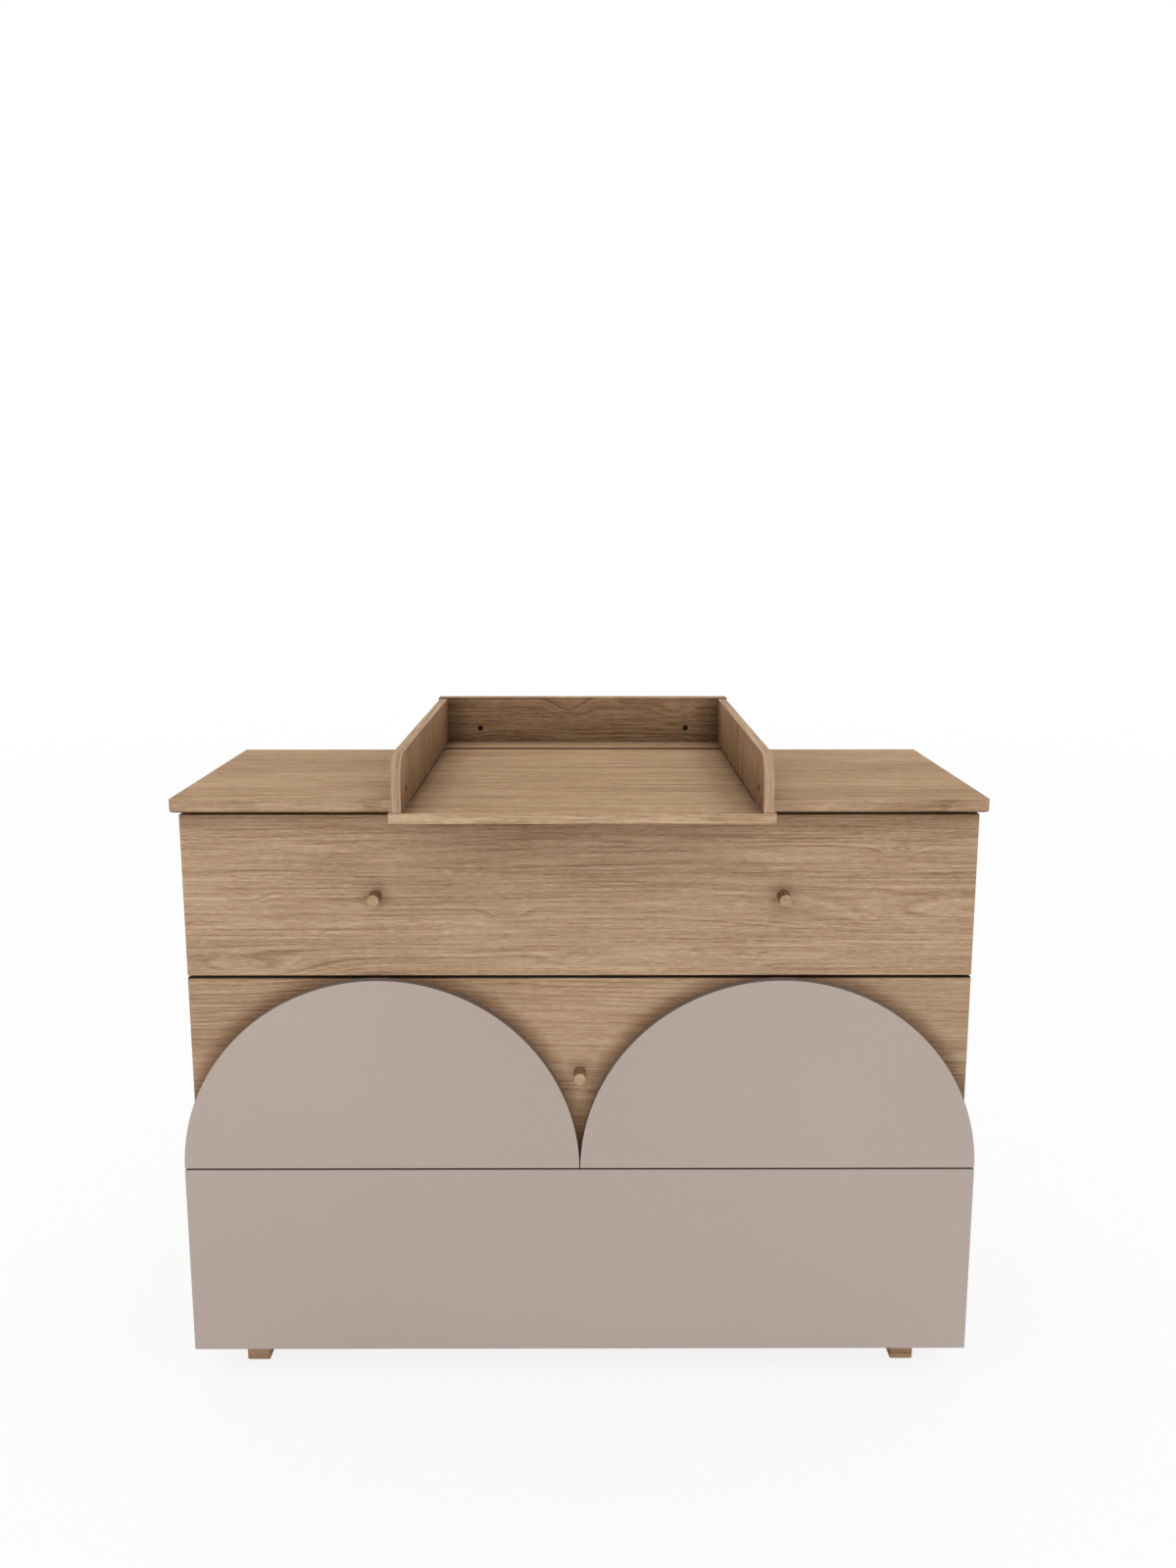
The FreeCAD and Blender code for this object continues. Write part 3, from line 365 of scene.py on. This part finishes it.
def grained(tree, grain, bands=False):
    """The board's own coordinates along and across its grain, swapped on its banded end faces."""
    axes = xyz(tree, own(tree, "Object"))
    along, across, through = (axes[axis] for axis in BOARD_AXES[grain])
    flat = vector_of(tree, along, across, through)
    if not bands:
        return flat
    band = vector_of(tree, sums(tree, "ADD", across, through), along, BAND_PLACE)
    return swapped(tree, turned(BOARD_AXES[grain][0])(tree), flat, band)


def blank(name):
    """A new material, its node tree and its shader."""
    material = bpy.data.materials.new(name)
    material.use_nodes = True
    return material, material.node_tree, material.node_tree.nodes["Principled BSDF"]


def tinted(tree, tone, *colours, middle_at=0.5):
    """The colour that a tone from 0 to 1 picks between two colours, or three with a middle one."""
    ramp = node(tree, "ShaderNodeValToRGB", {"Fac": tone})
    stops = ramp.color_ramp.elements
    if len(colours) == 3:
        stops.new(middle_at)
    for stop, colour in zip(stops, colours):
        stop.color = (*colour, 1)
    return ramp.outputs["Color"]


def coat(tree, shader, colour, roughness, relief, strength, depth):
    """Give a shader its colour, its roughness and a fine relief."""
    join(tree, colour, shader.inputs["Base Color"])
    join(tree, roughness, shader.inputs["Roughness"])
    bumped(tree, relief, strength, depth, shader)


OAK_DARK = (0.25, 0.150, 0.085)
OAK_MIDDLE = (0.425, 0.280, 0.176)
OAK_LIGHT = (0.56, 0.405, 0.275)
OAK_MIDDLE_TONE = 0.55
OAK_ROUGH, OAK_SMOOTH, OAK_SHEEN = 0.80, 0.68, 0.06


def oak(name, grain="X", *, seed, rings, drift=7.0, waves=1.2, contrast=1.0, fibres=1.2, eyes=(),
        shade=(1, 1, 1), bands=True, place=None, masks=()):
    """Oak decor with a light matt finish. Eyes are given as (along, across, length, height, rings),
    masks as (mask, shade) for the colour. Contrast and fibres may depend on a mask."""
    material, tree, shader = blank(name)
    spot = place(tree) if place else grained(tree, grain, bands)
    figure = 0.0
    for along, across, length, height, number in eyes:
        eye = placed(tree, oak_eye, {"Place": spot, "Centre": (along, across, 0),
                                     "Size": (length, height, 1), "Rings": number})
        figure = sums(tree, "ADD", figure, eye["Figure"])
    contrast, fibres = (value(tree) if callable(value) else value for value in (contrast, fibres))
    wood = placed(tree, oak_grain, {"Place": spot, "Seed": seed, "Rings": rings, "Drift": drift,
                                    "Waves": waves, "Figure": figure, "Contrast": contrast,
                                    "Fibres": fibres})
    dark, middle, light = (tuple(share * part for share, part in zip(shade, colour))
                           for colour in (OAK_DARK, OAK_MIDDLE, OAK_LIGHT))
    colour = tinted(tree, wood["Tone"], dark, middle, light, middle_at=OAK_MIDDLE_TONE)
    for mask, change in masks:
        colour = dim(tree, colour, mask, change)
    roughness = between(tree, wood["Tone"], OAK_ROUGH, OAK_SMOOTH)
    coat(tree, shader, colour, roughness, wood["Relief"], strength=0.35, depth=0.0004)
    shader.inputs["Specular IOR Level"].default_value = OAK_SHEEN
    return material


def finish(material, *names):
    """Give CAD nodes their material."""
    for name in names:
        if not nodes[name].material_slots:
            nodes[name].data.materials.append(material)
        for slot in nodes[name].material_slots:
            slot.material = material


# The level boards are painted a little warmer than the fronts, most so where they look up: a
# painted tint that takes back the grey of the light's sheen on them
PAINTED_LEVEL_TINT = (0.985, 0.97, 0.93)
PAINTED_TINT_ABOVE = [(looking("Z"), (1.005, 0.985, 0.935))]
# Painted shade along the feet of the tray's walls, and a nearly black painted shade on the lower
# front arris
WALL_FEET = (-0.2495, 0.2585)
SHADE_BY_THE_TRAY = [(nook("Z", "X", foot, reach=0.075), (0.70, 0.68, 0.65)) for foot in WALL_FEET]
ARRIS_SHADE = 0.02
PANEL_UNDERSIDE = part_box("top_panel")[0][2]
SHADE_ON_LOWER_ARRIS = [(nook("-Y", "Z", PANEL_UNDERSIDE, reach=0.0028), ARRIS_SHADE)]
finish(oak("oak_top", "XY", seed=3.0, shade=PAINTED_LEVEL_TINT, rings=95.0, drift=6.0, contrast=0.9, fibres=1.7,
           masks=PAINTED_TINT_ABOVE + SHADE_BY_THE_TRAY + SHADE_ON_LOWER_ARRIS,
           eyes=[(-0.36, -0.185, 0.16, 0.03, 4.0)]), "top_panel")


# Cabinet boards
# Side panels, bottom panel and the two rails under the top are cut from the same decor board.
# Cam connectors join them.
finish(oak("oak_sides", "Z", seed=11.0, rings=100.0), "left_side_panel", "right_side_panel")
finish(oak("oak_inside", "XY", seed=17.0, rings=90.0), "bottom_panel", "front_rail", "rear_rail")


# Back panel
# Thin sheet of pressed wood fibre, let in between the side panels and nailed on all round. Its
# fibres are mottled, matt and slightly rough.
def times(colour, share):
    """A colour made darker or lighter."""
    return tuple(min(share * part, 1) for part in colour)


FIBRE_TAN = (0.47, 0.37, 0.26)
fibre_back, tree, shader = blank("fibre_back")
place = own(tree, "Object")
mottle = noise(tree, place, scale=9.0, detail=3.0)
fibres = noise(tree, place, scale=420.0, detail=4.0, Distortion=1.2)
tone = sums(tree, "ADD", centred(tree, mottle, 0.25), centred(tree, fibres, 0.5))
colour = tinted(tree, sums(tree, "ADD", tone, 0.5), times(FIBRE_TAN, 0.72), times(FIBRE_TAN, 1.25))
coat(tree, shader, colour, between(tree, fibres, 0.62, 0.82), fibres, strength=0.4, depth=0.0004)
finish(fibre_back, "back_panel")


# Feet
# Four square blocks of solid oak, oiled, with softened edges, each screwed on from below.
for number, foot in enumerate(("front_left_foot", "front_right_foot", "rear_left_foot",
                               "rear_right_foot")):
    finish(oak(f"oak_{foot}", seed=21.0 + number, rings=260.0, drift=3.0, bands=False,
               shade=(1.12, 1.06, 1.0)), foot)


# Steel fittings
# Runner channels, connectors, screws, bolts and the wall bracket are zinc-plated steel, rolled or
# drawn, with fine lines along them and a dull bloom.
drawn_steel, given, result = group(
    "drawn steel", {"Place": ("Vector", NO_PLACE)},
    {"Tone": "Float", "Lines": "Float", "Bloom": "Float"})
tree = drawn_steel
lines = stretched(tree, given["Place"], along=14.0, across=900.0, detail=3.0, roughness=0.6)
bloom = stretched(tree, given["Place"], along=40.0, across=60.0, detail=3.0, roughness=0.6)
tone = sums(tree, "ADD", centred(tree, lines, 0.5), centred(tree, bloom, 0.6))
join(tree, sums(tree, "ADD", tone, 0.5), result["Tone"])
join(tree, lines, result["Lines"])
join(tree, bloom, result["Bloom"])


def zinc(name, along, tint, roughness):
    """Zinc-plated steel with its drawing lines along an axis."""
    material, tree, shader = blank(name)
    steel = placed(tree, drawn_steel, {"Place": grained(tree, along)})
    colour = tinted(tree, steel["Tone"], times(tint, 0.7), times(tint, 1.3))
    dull = between(tree, steel["Bloom"], roughness - 0.15, roughness + 0.15)
    coat(tree, shader, colour, dull, steel["Lines"], strength=0.15, depth=0.0002)
    shader.inputs["Metallic"].default_value = 1.0
    return material


DRAWERS = ("top", "middle", "bottom")
finish(zinc("zinc_rolled", "Y", tint=(0.56, 0.57, 0.58), roughness=0.38), "cabinet_runners",
       *(f"{name}_{kind}" for name in DRAWERS
         for kind in ("drawer_runners", "intermediate_runners")))
finish(zinc("zinc_drawn", "X", tint=(0.6, 0.58, 0.52), roughness=0.34),
       "panel_screws", "carcass_connectors", "top_knob_screws", "middle_knob_screw", "arch_screws",
       "facing_screws", "tray_bolts", "tray_wall_screws",
       *(f"{name}_drawer_connectors" for name in DRAWERS))
finish(zinc("zinc_bracket", "X", tint=(0.54, 0.55, 0.56), roughness=0.42), "wall_bracket")


# Drawer boxes
# Sides, backs and floors are board with an off-white melamine skin, a little pearly and matt.
pressed_pearl, given, result = group(
    "pressed pearl", {"Place": ("Vector", NO_PLACE), "Seed": ("Float", 0.0)},
    {"Tone": "Float", "Pearl": "Float"})
tree = pressed_pearl
place = vectors(tree, "ADD", given["Place"], given["Seed"])
cloud = stretched(tree, place, along=3.0, across=4.0)
pearl = stretched(tree, place, along=700.0, across=800.0)
tone = sums(tree, "ADD", centred(tree, cloud, 0.3), centred(tree, pearl, 0.35))
join(tree, sums(tree, "ADD", tone, 0.5), result["Tone"])
join(tree, pearl, result["Pearl"])

OFF_WHITE = (0.72, 0.70, 0.66)
for number, name in enumerate(DRAWERS):
    melamine, tree, shader = blank(f"melamine_{name}")
    skin = placed(tree, pressed_pearl, {"Place": grained(tree, "Y"), "Seed": 3.0 * number})
    colour = tinted(tree, skin["Tone"], times(OFF_WHITE, 0.9), times(OFF_WHITE, 1.06))
    roughness = between(tree, skin["Pearl"], 0.42, 0.58)
    coat(tree, shader, colour, roughness, skin["Pearl"], strength=0.2, depth=0.0002)
    finish(melamine, *(f"{name}_drawer_{board}"
                       for board in ("left_side", "right_side", "back", "floor")))


# Wood fronts
# Three oak boards with the grain lying across the dresser, screwed onto their boxes. The bottom
# one is hidden by its facing.

# A mask for places near a circle on the fronts
ring_mask, given, result = group(
    "ring mask", {"Centre": ("Vector", NO_PLACE), "Radius": ("Float", 0.1),
                  "Reach": ("Float", 0.1)}, {"Mask": "Float"})
tree = ring_mask
flat = vectors(tree, "MULTIPLY", own(tree, "Object"), (1, 0, 1))
out = vectors(tree, "DISTANCE", flat, given["Centre"])
away = sums(tree, "ABSOLUTE", sums(tree, "SUBTRACT", out, given["Radius"]))
join(tree, ranged(tree, away, 0.0, given["Reach"], 1.0, 0.0, "SMOOTHERSTEP"), result["Mask"])


def ring(x, z, radius, reach):
    """A mask that is one on a circle on the fronts, and softly nought at a reach from it."""
    values = {"Centre": (x, 0, z), "Radius": radius, "Reach": reach}
    return lambda tree: placed(tree, ring_mask, values)["Mask"]


# The top front's figure: an arch that opens to the right edge, lines that fall towards the right
# in the middle, small knots, and a row of closed eyes along the lower edge
TOP_FIGURE = [
    (0.64, 0.735, 0.30, 0.030, 7.0), (-0.45, 0.93, 0.55, 0.10, 5.0),
    (0.471, 0.836, 0.030, 0.010, 2.6), (0.428, 0.729, 0.020, 0.008, 1.6),
    (-0.494, 0.763, 0.035, 0.009, 1.8), (-0.108, 0.740, 0.030, 0.009, 2.0),
    (-0.002, 0.671, 0.040, 0.013, 3.0), (0.146, 0.674, 0.050, 0.011, 2.8),
    (0.241, 0.669, 0.035, 0.013, 3.2), (-0.50, 0.655, 0.13, 0.022, 5.0),
]
# Little light gets into the narrow gaps between the fronts, so the edges are painted nearly black
# towards them, and so is the middle front's upper arris: painted shade
FRONT_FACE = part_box("top_drawer_front")[0][1]
MIDDLE_UPPER_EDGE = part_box("middle_drawer_front")[1][2]
GAP_EDGE_SHADE = [(nook(way, "Y", FRONT_FACE, reach=0.014), ARRIS_SHADE) for way in ("Z", "-Z")]
UPPER_ARRIS_SHADE = [(nook("-Y", "Z", MIDDLE_UPPER_EDGE, reach=0.0032), ARRIS_SHADE)]
# The middle board is lighter between the half-rounds and at its left end than at its right end
MIDDLE_TONES = [(near("X", 0.0, reach=0.30), 1.10), (near("X", 0.6, reach=0.2), 0.92),
                (near("X", -0.6, reach=0.2), 1.055)]
# Painted soft shades under the top panel, round the knobs and round the half-rounds
KNOB_X, TOP_KNOB_Z, MIDDLE_KNOB_Z = 0.30015, 0.7685, 0.494
ARCH_Z, ARCH_SHADE_RADIUS = 0.345, 0.297
PANEL_SHADE_Z = 0.893
KNOB_RADIUS, KNOB_REACH, KNOB_SHADE = 0.006, 0.026, 0.82
SHADE_UNDER_TOP = [(near("Z", PANEL_SHADE_Z, reach=0.055), (0.74, 0.70, 0.66))]
SHADE_ROUND_KNOBS = [(ring(side * KNOB_X, TOP_KNOB_Z, KNOB_RADIUS, KNOB_REACH), KNOB_SHADE)
               for side in (-1, 1)]
SHADE_ROUND_MIDDLE_KNOB = [(ring(0.0, MIDDLE_KNOB_Z, KNOB_RADIUS, KNOB_REACH), KNOB_SHADE)]
SHADE_ROUND_ARCHES = [(ring(side * KNOB_X, ARCH_Z, ARCH_SHADE_RADIUS, reach=0.034), (0.62, 0.57, 0.52))
                for side in (-1, 1)]
finish(oak("oak_top_front", seed=31.0, rings=135.0, drift=3.0, contrast=0.85, fibres=1.5,
           eyes=TOP_FIGURE, shade=(1.08, 1.08, 1.065), masks=GAP_EDGE_SHADE + SHADE_UNDER_TOP + SHADE_ROUND_KNOBS),
       "top_drawer_front")
finish(oak("oak_middle_front", seed=37.0, rings=125.0, drift=6.0, shade=(1.03, 1.03, 1.02),
           masks=GAP_EDGE_SHADE + UPPER_ARRIS_SHADE + MIDDLE_TONES + SHADE_ROUND_ARCHES + SHADE_ROUND_MIDDLE_KNOB),
       "middle_drawer_front")
finish(oak("oak_bottom_front", seed=41.0, rings=110.0, drift=8.0, masks=GAP_EDGE_SHADE),
       "bottom_drawer_front")


# Knobs
# Turned oak pegs with the grain along their axis, each held by one screw from inside. Their rounds
# are painted dark as painted shade, and their end faces a little lighter than oak, a painted light.
for number, knob in enumerate(("top_left_knob", "top_right_knob", "middle_knob")):
    finish(oak(f"oak_{knob}", "Y", seed=51.0 + number, rings=320.0, drift=2.0, bands=False,
               shade=(0.52, 0.49, 0.45),
               masks=[(turned("Y", least=0.5), (2.15, 2.30, 2.42))]), knob)


# Facings
# Two half-rounds and one plain board of fibreboard, sprayed all over in a matt taupe lacquer and
# screwed onto the fronts from behind. Their milled edges are painted darker, as painted shade.
def aside(axis):
    """A mask of the faces that do not look along an axis."""
    return lambda tree: sums(tree, "SUBTRACT", 1.0, turned(axis)(tree))


TAUPE = (0.465, 0.383, 0.333)
MILLED_SHADE = 0.42
taupe, tree, shader = blank("taupe_lacquer")
place = own(tree, "Object")
spray = noise(tree, place, scale=900.0, detail=3.0)
peel = noise(tree, place, scale=260.0, detail=2.0)
cloud = noise(tree, place, scale=2.2, detail=2.0)
tone = sums(tree, "ADD", centred(tree, spray, 0.4), centred(tree, cloud, 0.4))
colour = tinted(tree, sums(tree, "ADD", tone, 0.5), times(TAUPE, 0.93), times(TAUPE, 1.07))
# Painted shade on the milled edges
colour = dim(tree, colour, aside("Y"), MILLED_SHADE)
coat(tree, shader, colour, between(tree, spray, 0.5, 0.64), peel, strength=0.12, depth=0.0003)
finish(taupe, "left_arch", "right_arch", "bottom_facing")


# Bumpers
# Small soft dots stuck onto the cabinet's front edges, milky and slightly tacky.
MILK_DULL, MILK_CLEAR = (0.62, 0.62, 0.60), (0.78, 0.78, 0.76)
milky, tree, shader = blank("milky_bumper")
haze = noise(tree, own(tree, "Object"), scale=500.0, detail=2.0)
colour = tinted(tree, haze, MILK_DULL, MILK_CLEAR)
coat(tree, shader, colour, between(tree, haze, 0.3, 0.5), haze, strength=0.2, depth=0.0002)
finish(milky, "front_bumpers")


# Tray floor
# Oak decor board and a second strip behind it, screwed onto the top panel.
TRAY_JOINT, BACK_WALL_Y = 0.2170, 0.3033
TRAY_LEFT, TRAY_RIGHT = -0.2355, 0.2445
# Painted shade along the feet of the side walls, on the floor and the strip
SHADE_BY_THE_WALLS = [(nook("Z", "X", TRAY_LEFT, reach=0.065), (0.72, 0.69, 0.65)),
                (nook("Z", "X", TRAY_RIGHT, reach=0.085), (0.68, 0.65, 0.61)),
                (nook("Z", "X", TRAY_LEFT, reach=0.022), (0.62, 0.60, 0.57)),
                (nook("Z", "X", TRAY_RIGHT, reach=0.022), (0.65, 0.62, 0.59))]
# Painted shade on both sides of the joint, more on the strip's side and its front face, painted
# shade along the back wall's foot, and a painted light on the floor's front edge
FLOOR_SHADE_AND_LIGHT = [(nook("Z", "Y", TRAY_JOINT, reach=0.005), 0.2), (looking("-Y"), (1.13, 1.16, 1.17))]
STRIP_SHADE = [(looking("-Y"), 0.3), (nook("Z", "Y", TRAY_JOINT, reach=0.027), 0.04),
               (nook("Z", "Y", BACK_WALL_Y, reach=0.05), 0.66)]
# Both boards also get the level boards' painted warm tint
finish(oak("oak_tray_floor", "XY", seed=61.0, rings=100.0, shade=PAINTED_LEVEL_TINT, fibres=1.7,
           masks=FLOOR_SHADE_AND_LIGHT + PAINTED_TINT_ABOVE + SHADE_BY_THE_WALLS), "tray_floor")
finish(oak("oak_tray_strip", "XY", seed=67.0, rings=100.0, shade=PAINTED_LEVEL_TINT, fibres=1.7,
           masks=STRIP_SHADE + PAINTED_TINT_ABOVE + SHADE_BY_THE_WALLS), "tray_rear_strip")


# Tray walls
# Side walls of oak decor board with the grain standing, banded along their front and top edges,
# and a thicker back wall with a bold figure. Long screws join them.
def standing(tree):
    """Grain upright on the wall's faces, and along its edges where they turn up and over."""
    axes = xyz(tree, own(tree, "Object"))
    side = vector_of(tree, axes["Z"], axes["Y"], axes["X"])
    edge = vector_of(tree, sums(tree, "ADD", axes["Y"], axes["Z"]), axes["X"], 0.4)
    return swapped(tree, turned("X")(tree), edge, side)


def bored(axis, places, reach):
    """A mask inside a hole that runs along an axis, at its places along the other two."""
    def mask(tree):
        inside = aside(axis)(tree)
        for other, middle in places:
            inside = sums(tree, "MULTIPLY", inside, near(other, middle, reach)(tree))
        return inside
    return mask


def bolder_inside(way, plain, bold):
    """A figure's strength that is bold on the faces that look one way and plain elsewhere."""
    return lambda tree: between(tree, looking(way)(tree), plain, bold)


# The inner faces are painted softly darker, most towards the floor and the back wall, and the holes
# of the barrel nuts are painted nearly black: all painted shade
TRAY_FLOOR_Z = 0.929
WALL_BARREL = (("Y", -0.2737), ("Z", 0.953))
for number, (wall, inwards) in enumerate((("tray_left_wall", "X"), ("tray_right_wall", "-X"))):
    finish(oak(f"oak_{wall}", seed=71.0 + number, rings=110.0, place=standing,
               fibres=bolder_inside(inwards, 1.2, 2.2),
               masks=[(looking(inwards), (0.78, 0.70, 0.61)),
                      (nook(inwards, "Z", TRAY_FLOOR_Z, reach=0.076), (0.66, 0.63, 0.59)),
                      (nook(inwards, "Y", BACK_WALL_Y, reach=0.08), 0.75),
                      (bored("X", WALL_BARREL, reach=0.03), 0.03)]), wall)
# Bold arches with closed eyes under the back wall's upper edge
BACK_FIGURE = [
    (-0.10, 0.935, 0.11, 0.030, -5.0), (0.08, 0.998, 0.030, 0.010, 1.5),
    (0.125, 0.997, 0.026, 0.012, 1.3), (0.10, 0.930, 0.12, 0.030, -4.0),
    (-0.02, 0.985, 0.035, 0.030, 3.0), (0.165, 0.985, 0.030, 0.020, 3.0),
]
# Painted shade on the back wall's inner face, deeper by the side walls and the floor
finish(oak("oak_tray_back", seed=81.0, rings=110.0, drift=4.0, waves=2.4, eyes=BACK_FIGURE,
           contrast=bolder_inside("-Y", 0.9, 1.7), fibres=bolder_inside("-Y", 1.2, 2.2),
           masks=[(looking("-Y"), (0.67, 0.60, 0.52)),
                  (nook("-Y", "X", TRAY_LEFT, reach=0.055), 0.52),
                  (nook("-Y", "X", TRAY_RIGHT, reach=0.055), 0.52),
                  (nook("-Y", "Z", TRAY_FLOOR_Z, reach=0.05), 0.66)]), "tray_back_wall")


# Barrel nuts
# Round steel nuts sunk into the tray's walls, blackened and dull, for the bolts from below.
SOOT_DARK, SOOT_LIGHT = (0.014, 0.011, 0.009), (0.030, 0.025, 0.022)
blackened, tree, shader = blank("blackened_barrels")
soot = noise(tree, own(tree, "Object"), scale=1400.0, detail=3.0)
colour = tinted(tree, soot, SOOT_DARK, SOOT_LIGHT)
coat(tree, shader, colour, between(tree, soot, 0.6, 0.8), soot, strength=0.3, depth=0.0001)
shader.inputs["Specular IOR Level"].default_value = 0.1
finish(blackened, "tray_barrel_nuts")


# Runner screws and nails
# Small pan-head screws hold each drawer's runner channels on its sides, and flat-headed nails hold
# the back panel all round.
def cross_recess(turn, length, width):
    """How far a cross-shaped recess reaches in one direction."""
    across, along = abs(math.cos(turn)), abs(math.sin(turn))
    reach = 0.0
    for long, short in ((across, along), (along, across)):
        reach = max(reach, min(length / max(long, 1e-6), width / max(short, 1e-6)))
    return reach


def turned_shape(name, count, rings):
    """A closed shape from rings of points, each given as (height, distance for a direction)."""
    turns = [math.tau * step / count for step in range(count)]
    points = [(reach(turn) * math.cos(turn), reach(turn) * math.sin(turn), height)
              for height, reach in rings for turn in turns]
    faces = [[low + step, low + (step + 1) % count, low + count + (step + 1) % count,
              low + count + step]
             for low in range(0, count * (len(rings) - 1), count) for step in range(count)]
    faces.append(list(range(count))[::-1])
    faces.append(list(range(len(points) - count, len(points))))
    mesh = bpy.data.meshes.new(name)
    mesh.from_pydata(points, [], faces)
    return bpy.data.objects.new(name, mesh)


def level(radius):
    """The same distance in every direction."""
    return lambda turn: radius


screw_head = turned_shape("screw_head", 12, [
    (-0.0003, level(0.0034)), (0.0002, level(0.0035)), (0.0010, level(0.0031)),
    (0.0015, level(0.0021)), (0.0016, lambda turn: cross_recess(turn, 0.0017, 0.0005)),
    (0.0008, lambda turn: cross_recess(turn, 0.0010, 0.0004))])
nail_head = turned_shape("nail_head", 10, [
    (-0.0003, level(0.0024)), (0.0003, level(0.0025)), (0.0006, level(0.0020)),
    (0.0007, level(0.0008))])

# A head stands on each point, turned outwards and then about itself by chance
fasteners = bpy.data.node_groups.new("fasteners", "GeometryNodeTree")
sockets = {word: fasteners.interface.new_socket(word, in_out="INPUT",
                                                socket_type="NodeSocket" + kind)
           for word, kind in (("Geometry", "Geometry"), ("Head", "Object"),
                              ("Finish", "Material"), ("Seed", "Int"))}
fasteners.interface.new_socket("Geometry", in_out="OUTPUT", socket_type="NodeSocketGeometry")
tree = fasteners
given = node(tree, "NodeGroupInput").outputs
head = node(tree, "GeometryNodeObjectInfo", {"Object": given["Head"]}).outputs["Geometry"]
outward = node(tree, "GeometryNodeInputNamedAttribute", {"Name": "outward"},
               data_type="FLOAT_VECTOR").outputs["Attribute"]
stand = node(tree, "FunctionNodeAlignRotationToVector", {"Vector": outward},
             axis="Z").outputs["Rotation"]
chance = node(tree, "FunctionNodeRandomValue", {3: math.tau, "Seed": given["Seed"]},
              data_type="FLOAT").outputs[1]
spin = node(tree, "FunctionNodeAxisAngleToRotation",
            {"Axis": (0, 0, 1), "Angle": chance}).outputs["Rotation"]
stand = node(tree, "FunctionNodeRotateRotation", {"Rotation": stand, "Rotate By": spin},
             rotation_space="LOCAL").outputs["Rotation"]
copies = node(tree, "GeometryNodeInstanceOnPoints",
              {"Points": given["Geometry"], "Instance": head,
               "Rotation": stand}).outputs["Instances"]
whole = node(tree, "GeometryNodeRealizeInstances", {0: copies}).outputs["Geometry"]
coated = node(tree, "GeometryNodeSetMaterial",
              {"Geometry": whole, "Material": given["Finish"]}).outputs["Geometry"]
join(tree, coated, node(tree, "NodeGroupOutput").inputs["Geometry"])


def fasten(name, body, places, outwards, head, material, seed):
    """One piece that holds a head at each place, facing outwards."""
    mesh = bpy.data.meshes.new(name)
    mesh.from_pydata(places, [], [])
    outward = mesh.attributes.new("outward", "FLOAT_VECTOR", "POINT")
    outward.data.foreach_set("vector", [part for way in outwards for part in way])
    holder = bpy.data.objects.new(name + "_places", mesh)
    scene.collection.objects.link(holder)
    work = holder.modifiers.new("fasteners", "NODES")
    work.node_group = fasteners
    for word, value in (("Head", head), ("Finish", material), ("Seed", seed)):
        work[sockets[word].identifier] = value
    bpy.context.view_layer.update()
    depsgraph = bpy.context.evaluated_depsgraph_get()
    whole = bpy.data.meshes.new_from_object(holder.evaluated_get(depsgraph))
    holder.modifiers.remove(work)
    bpy.data.objects.remove(holder)
    piece = bpy.data.objects.new(name, whole)
    scene.collection.objects.link(piece)
    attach(piece, body)


RUNNER_WEB, SCREW_ROWS = 0.5562, (-0.105, 0.055, 0.215)
yellowed = zinc("zinc_yellowed", "X", tint=(0.6, 0.53, 0.38), roughness=0.36)
for number, name in enumerate(DRAWERS):
    low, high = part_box(f"{name}_drawer_runners")
    middle = (low[2] + high[2]) / 2
    fasten(f"{name}_runner_screws", f"{name}_drawer",
           [(side * RUNNER_WEB, row, middle) for side in (-1, 1) for row in SCREW_ROWS],
           [(side, 0, 0) for side in (-1, 1) for row in SCREW_ROWS], screw_head, yellowed, number)

NAIL_INSET, NAILS_UP, NAILS_ACROSS = 0.0075, 8, 9
FIRST_NAIL_UP, FIRST_NAIL_ACROSS = 0.03, 0.11
NAIL_SEED = 9


def spread(low, high, first, count):
    """Even places between two ends, the first and last one inset from them."""
    return [low + first + (high - low - 2 * first) * step / (count - 1) for step in range(count)]


low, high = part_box("back_panel")
ups = spread(low[2], high[2], FIRST_NAIL_UP, NAILS_UP)
spans = spread(low[0], high[0], FIRST_NAIL_ACROSS, NAILS_ACROSS)
nails = [(x, high[1], z) for x in (low[0] + NAIL_INSET, high[0] - NAIL_INSET) for z in ups]
nails += [(x, high[1], z) for z in (low[2] + NAIL_INSET, high[2] - NAIL_INSET) for x in spans]
nail_steel = zinc("nail_steel", "X", tint=(0.4, 0.4, 0.4), roughness=0.45)
fasten("back_nails", "cabinet", nails, [(0, 1, 0)] * len(nails), nail_head, nail_steel, NAIL_SEED)
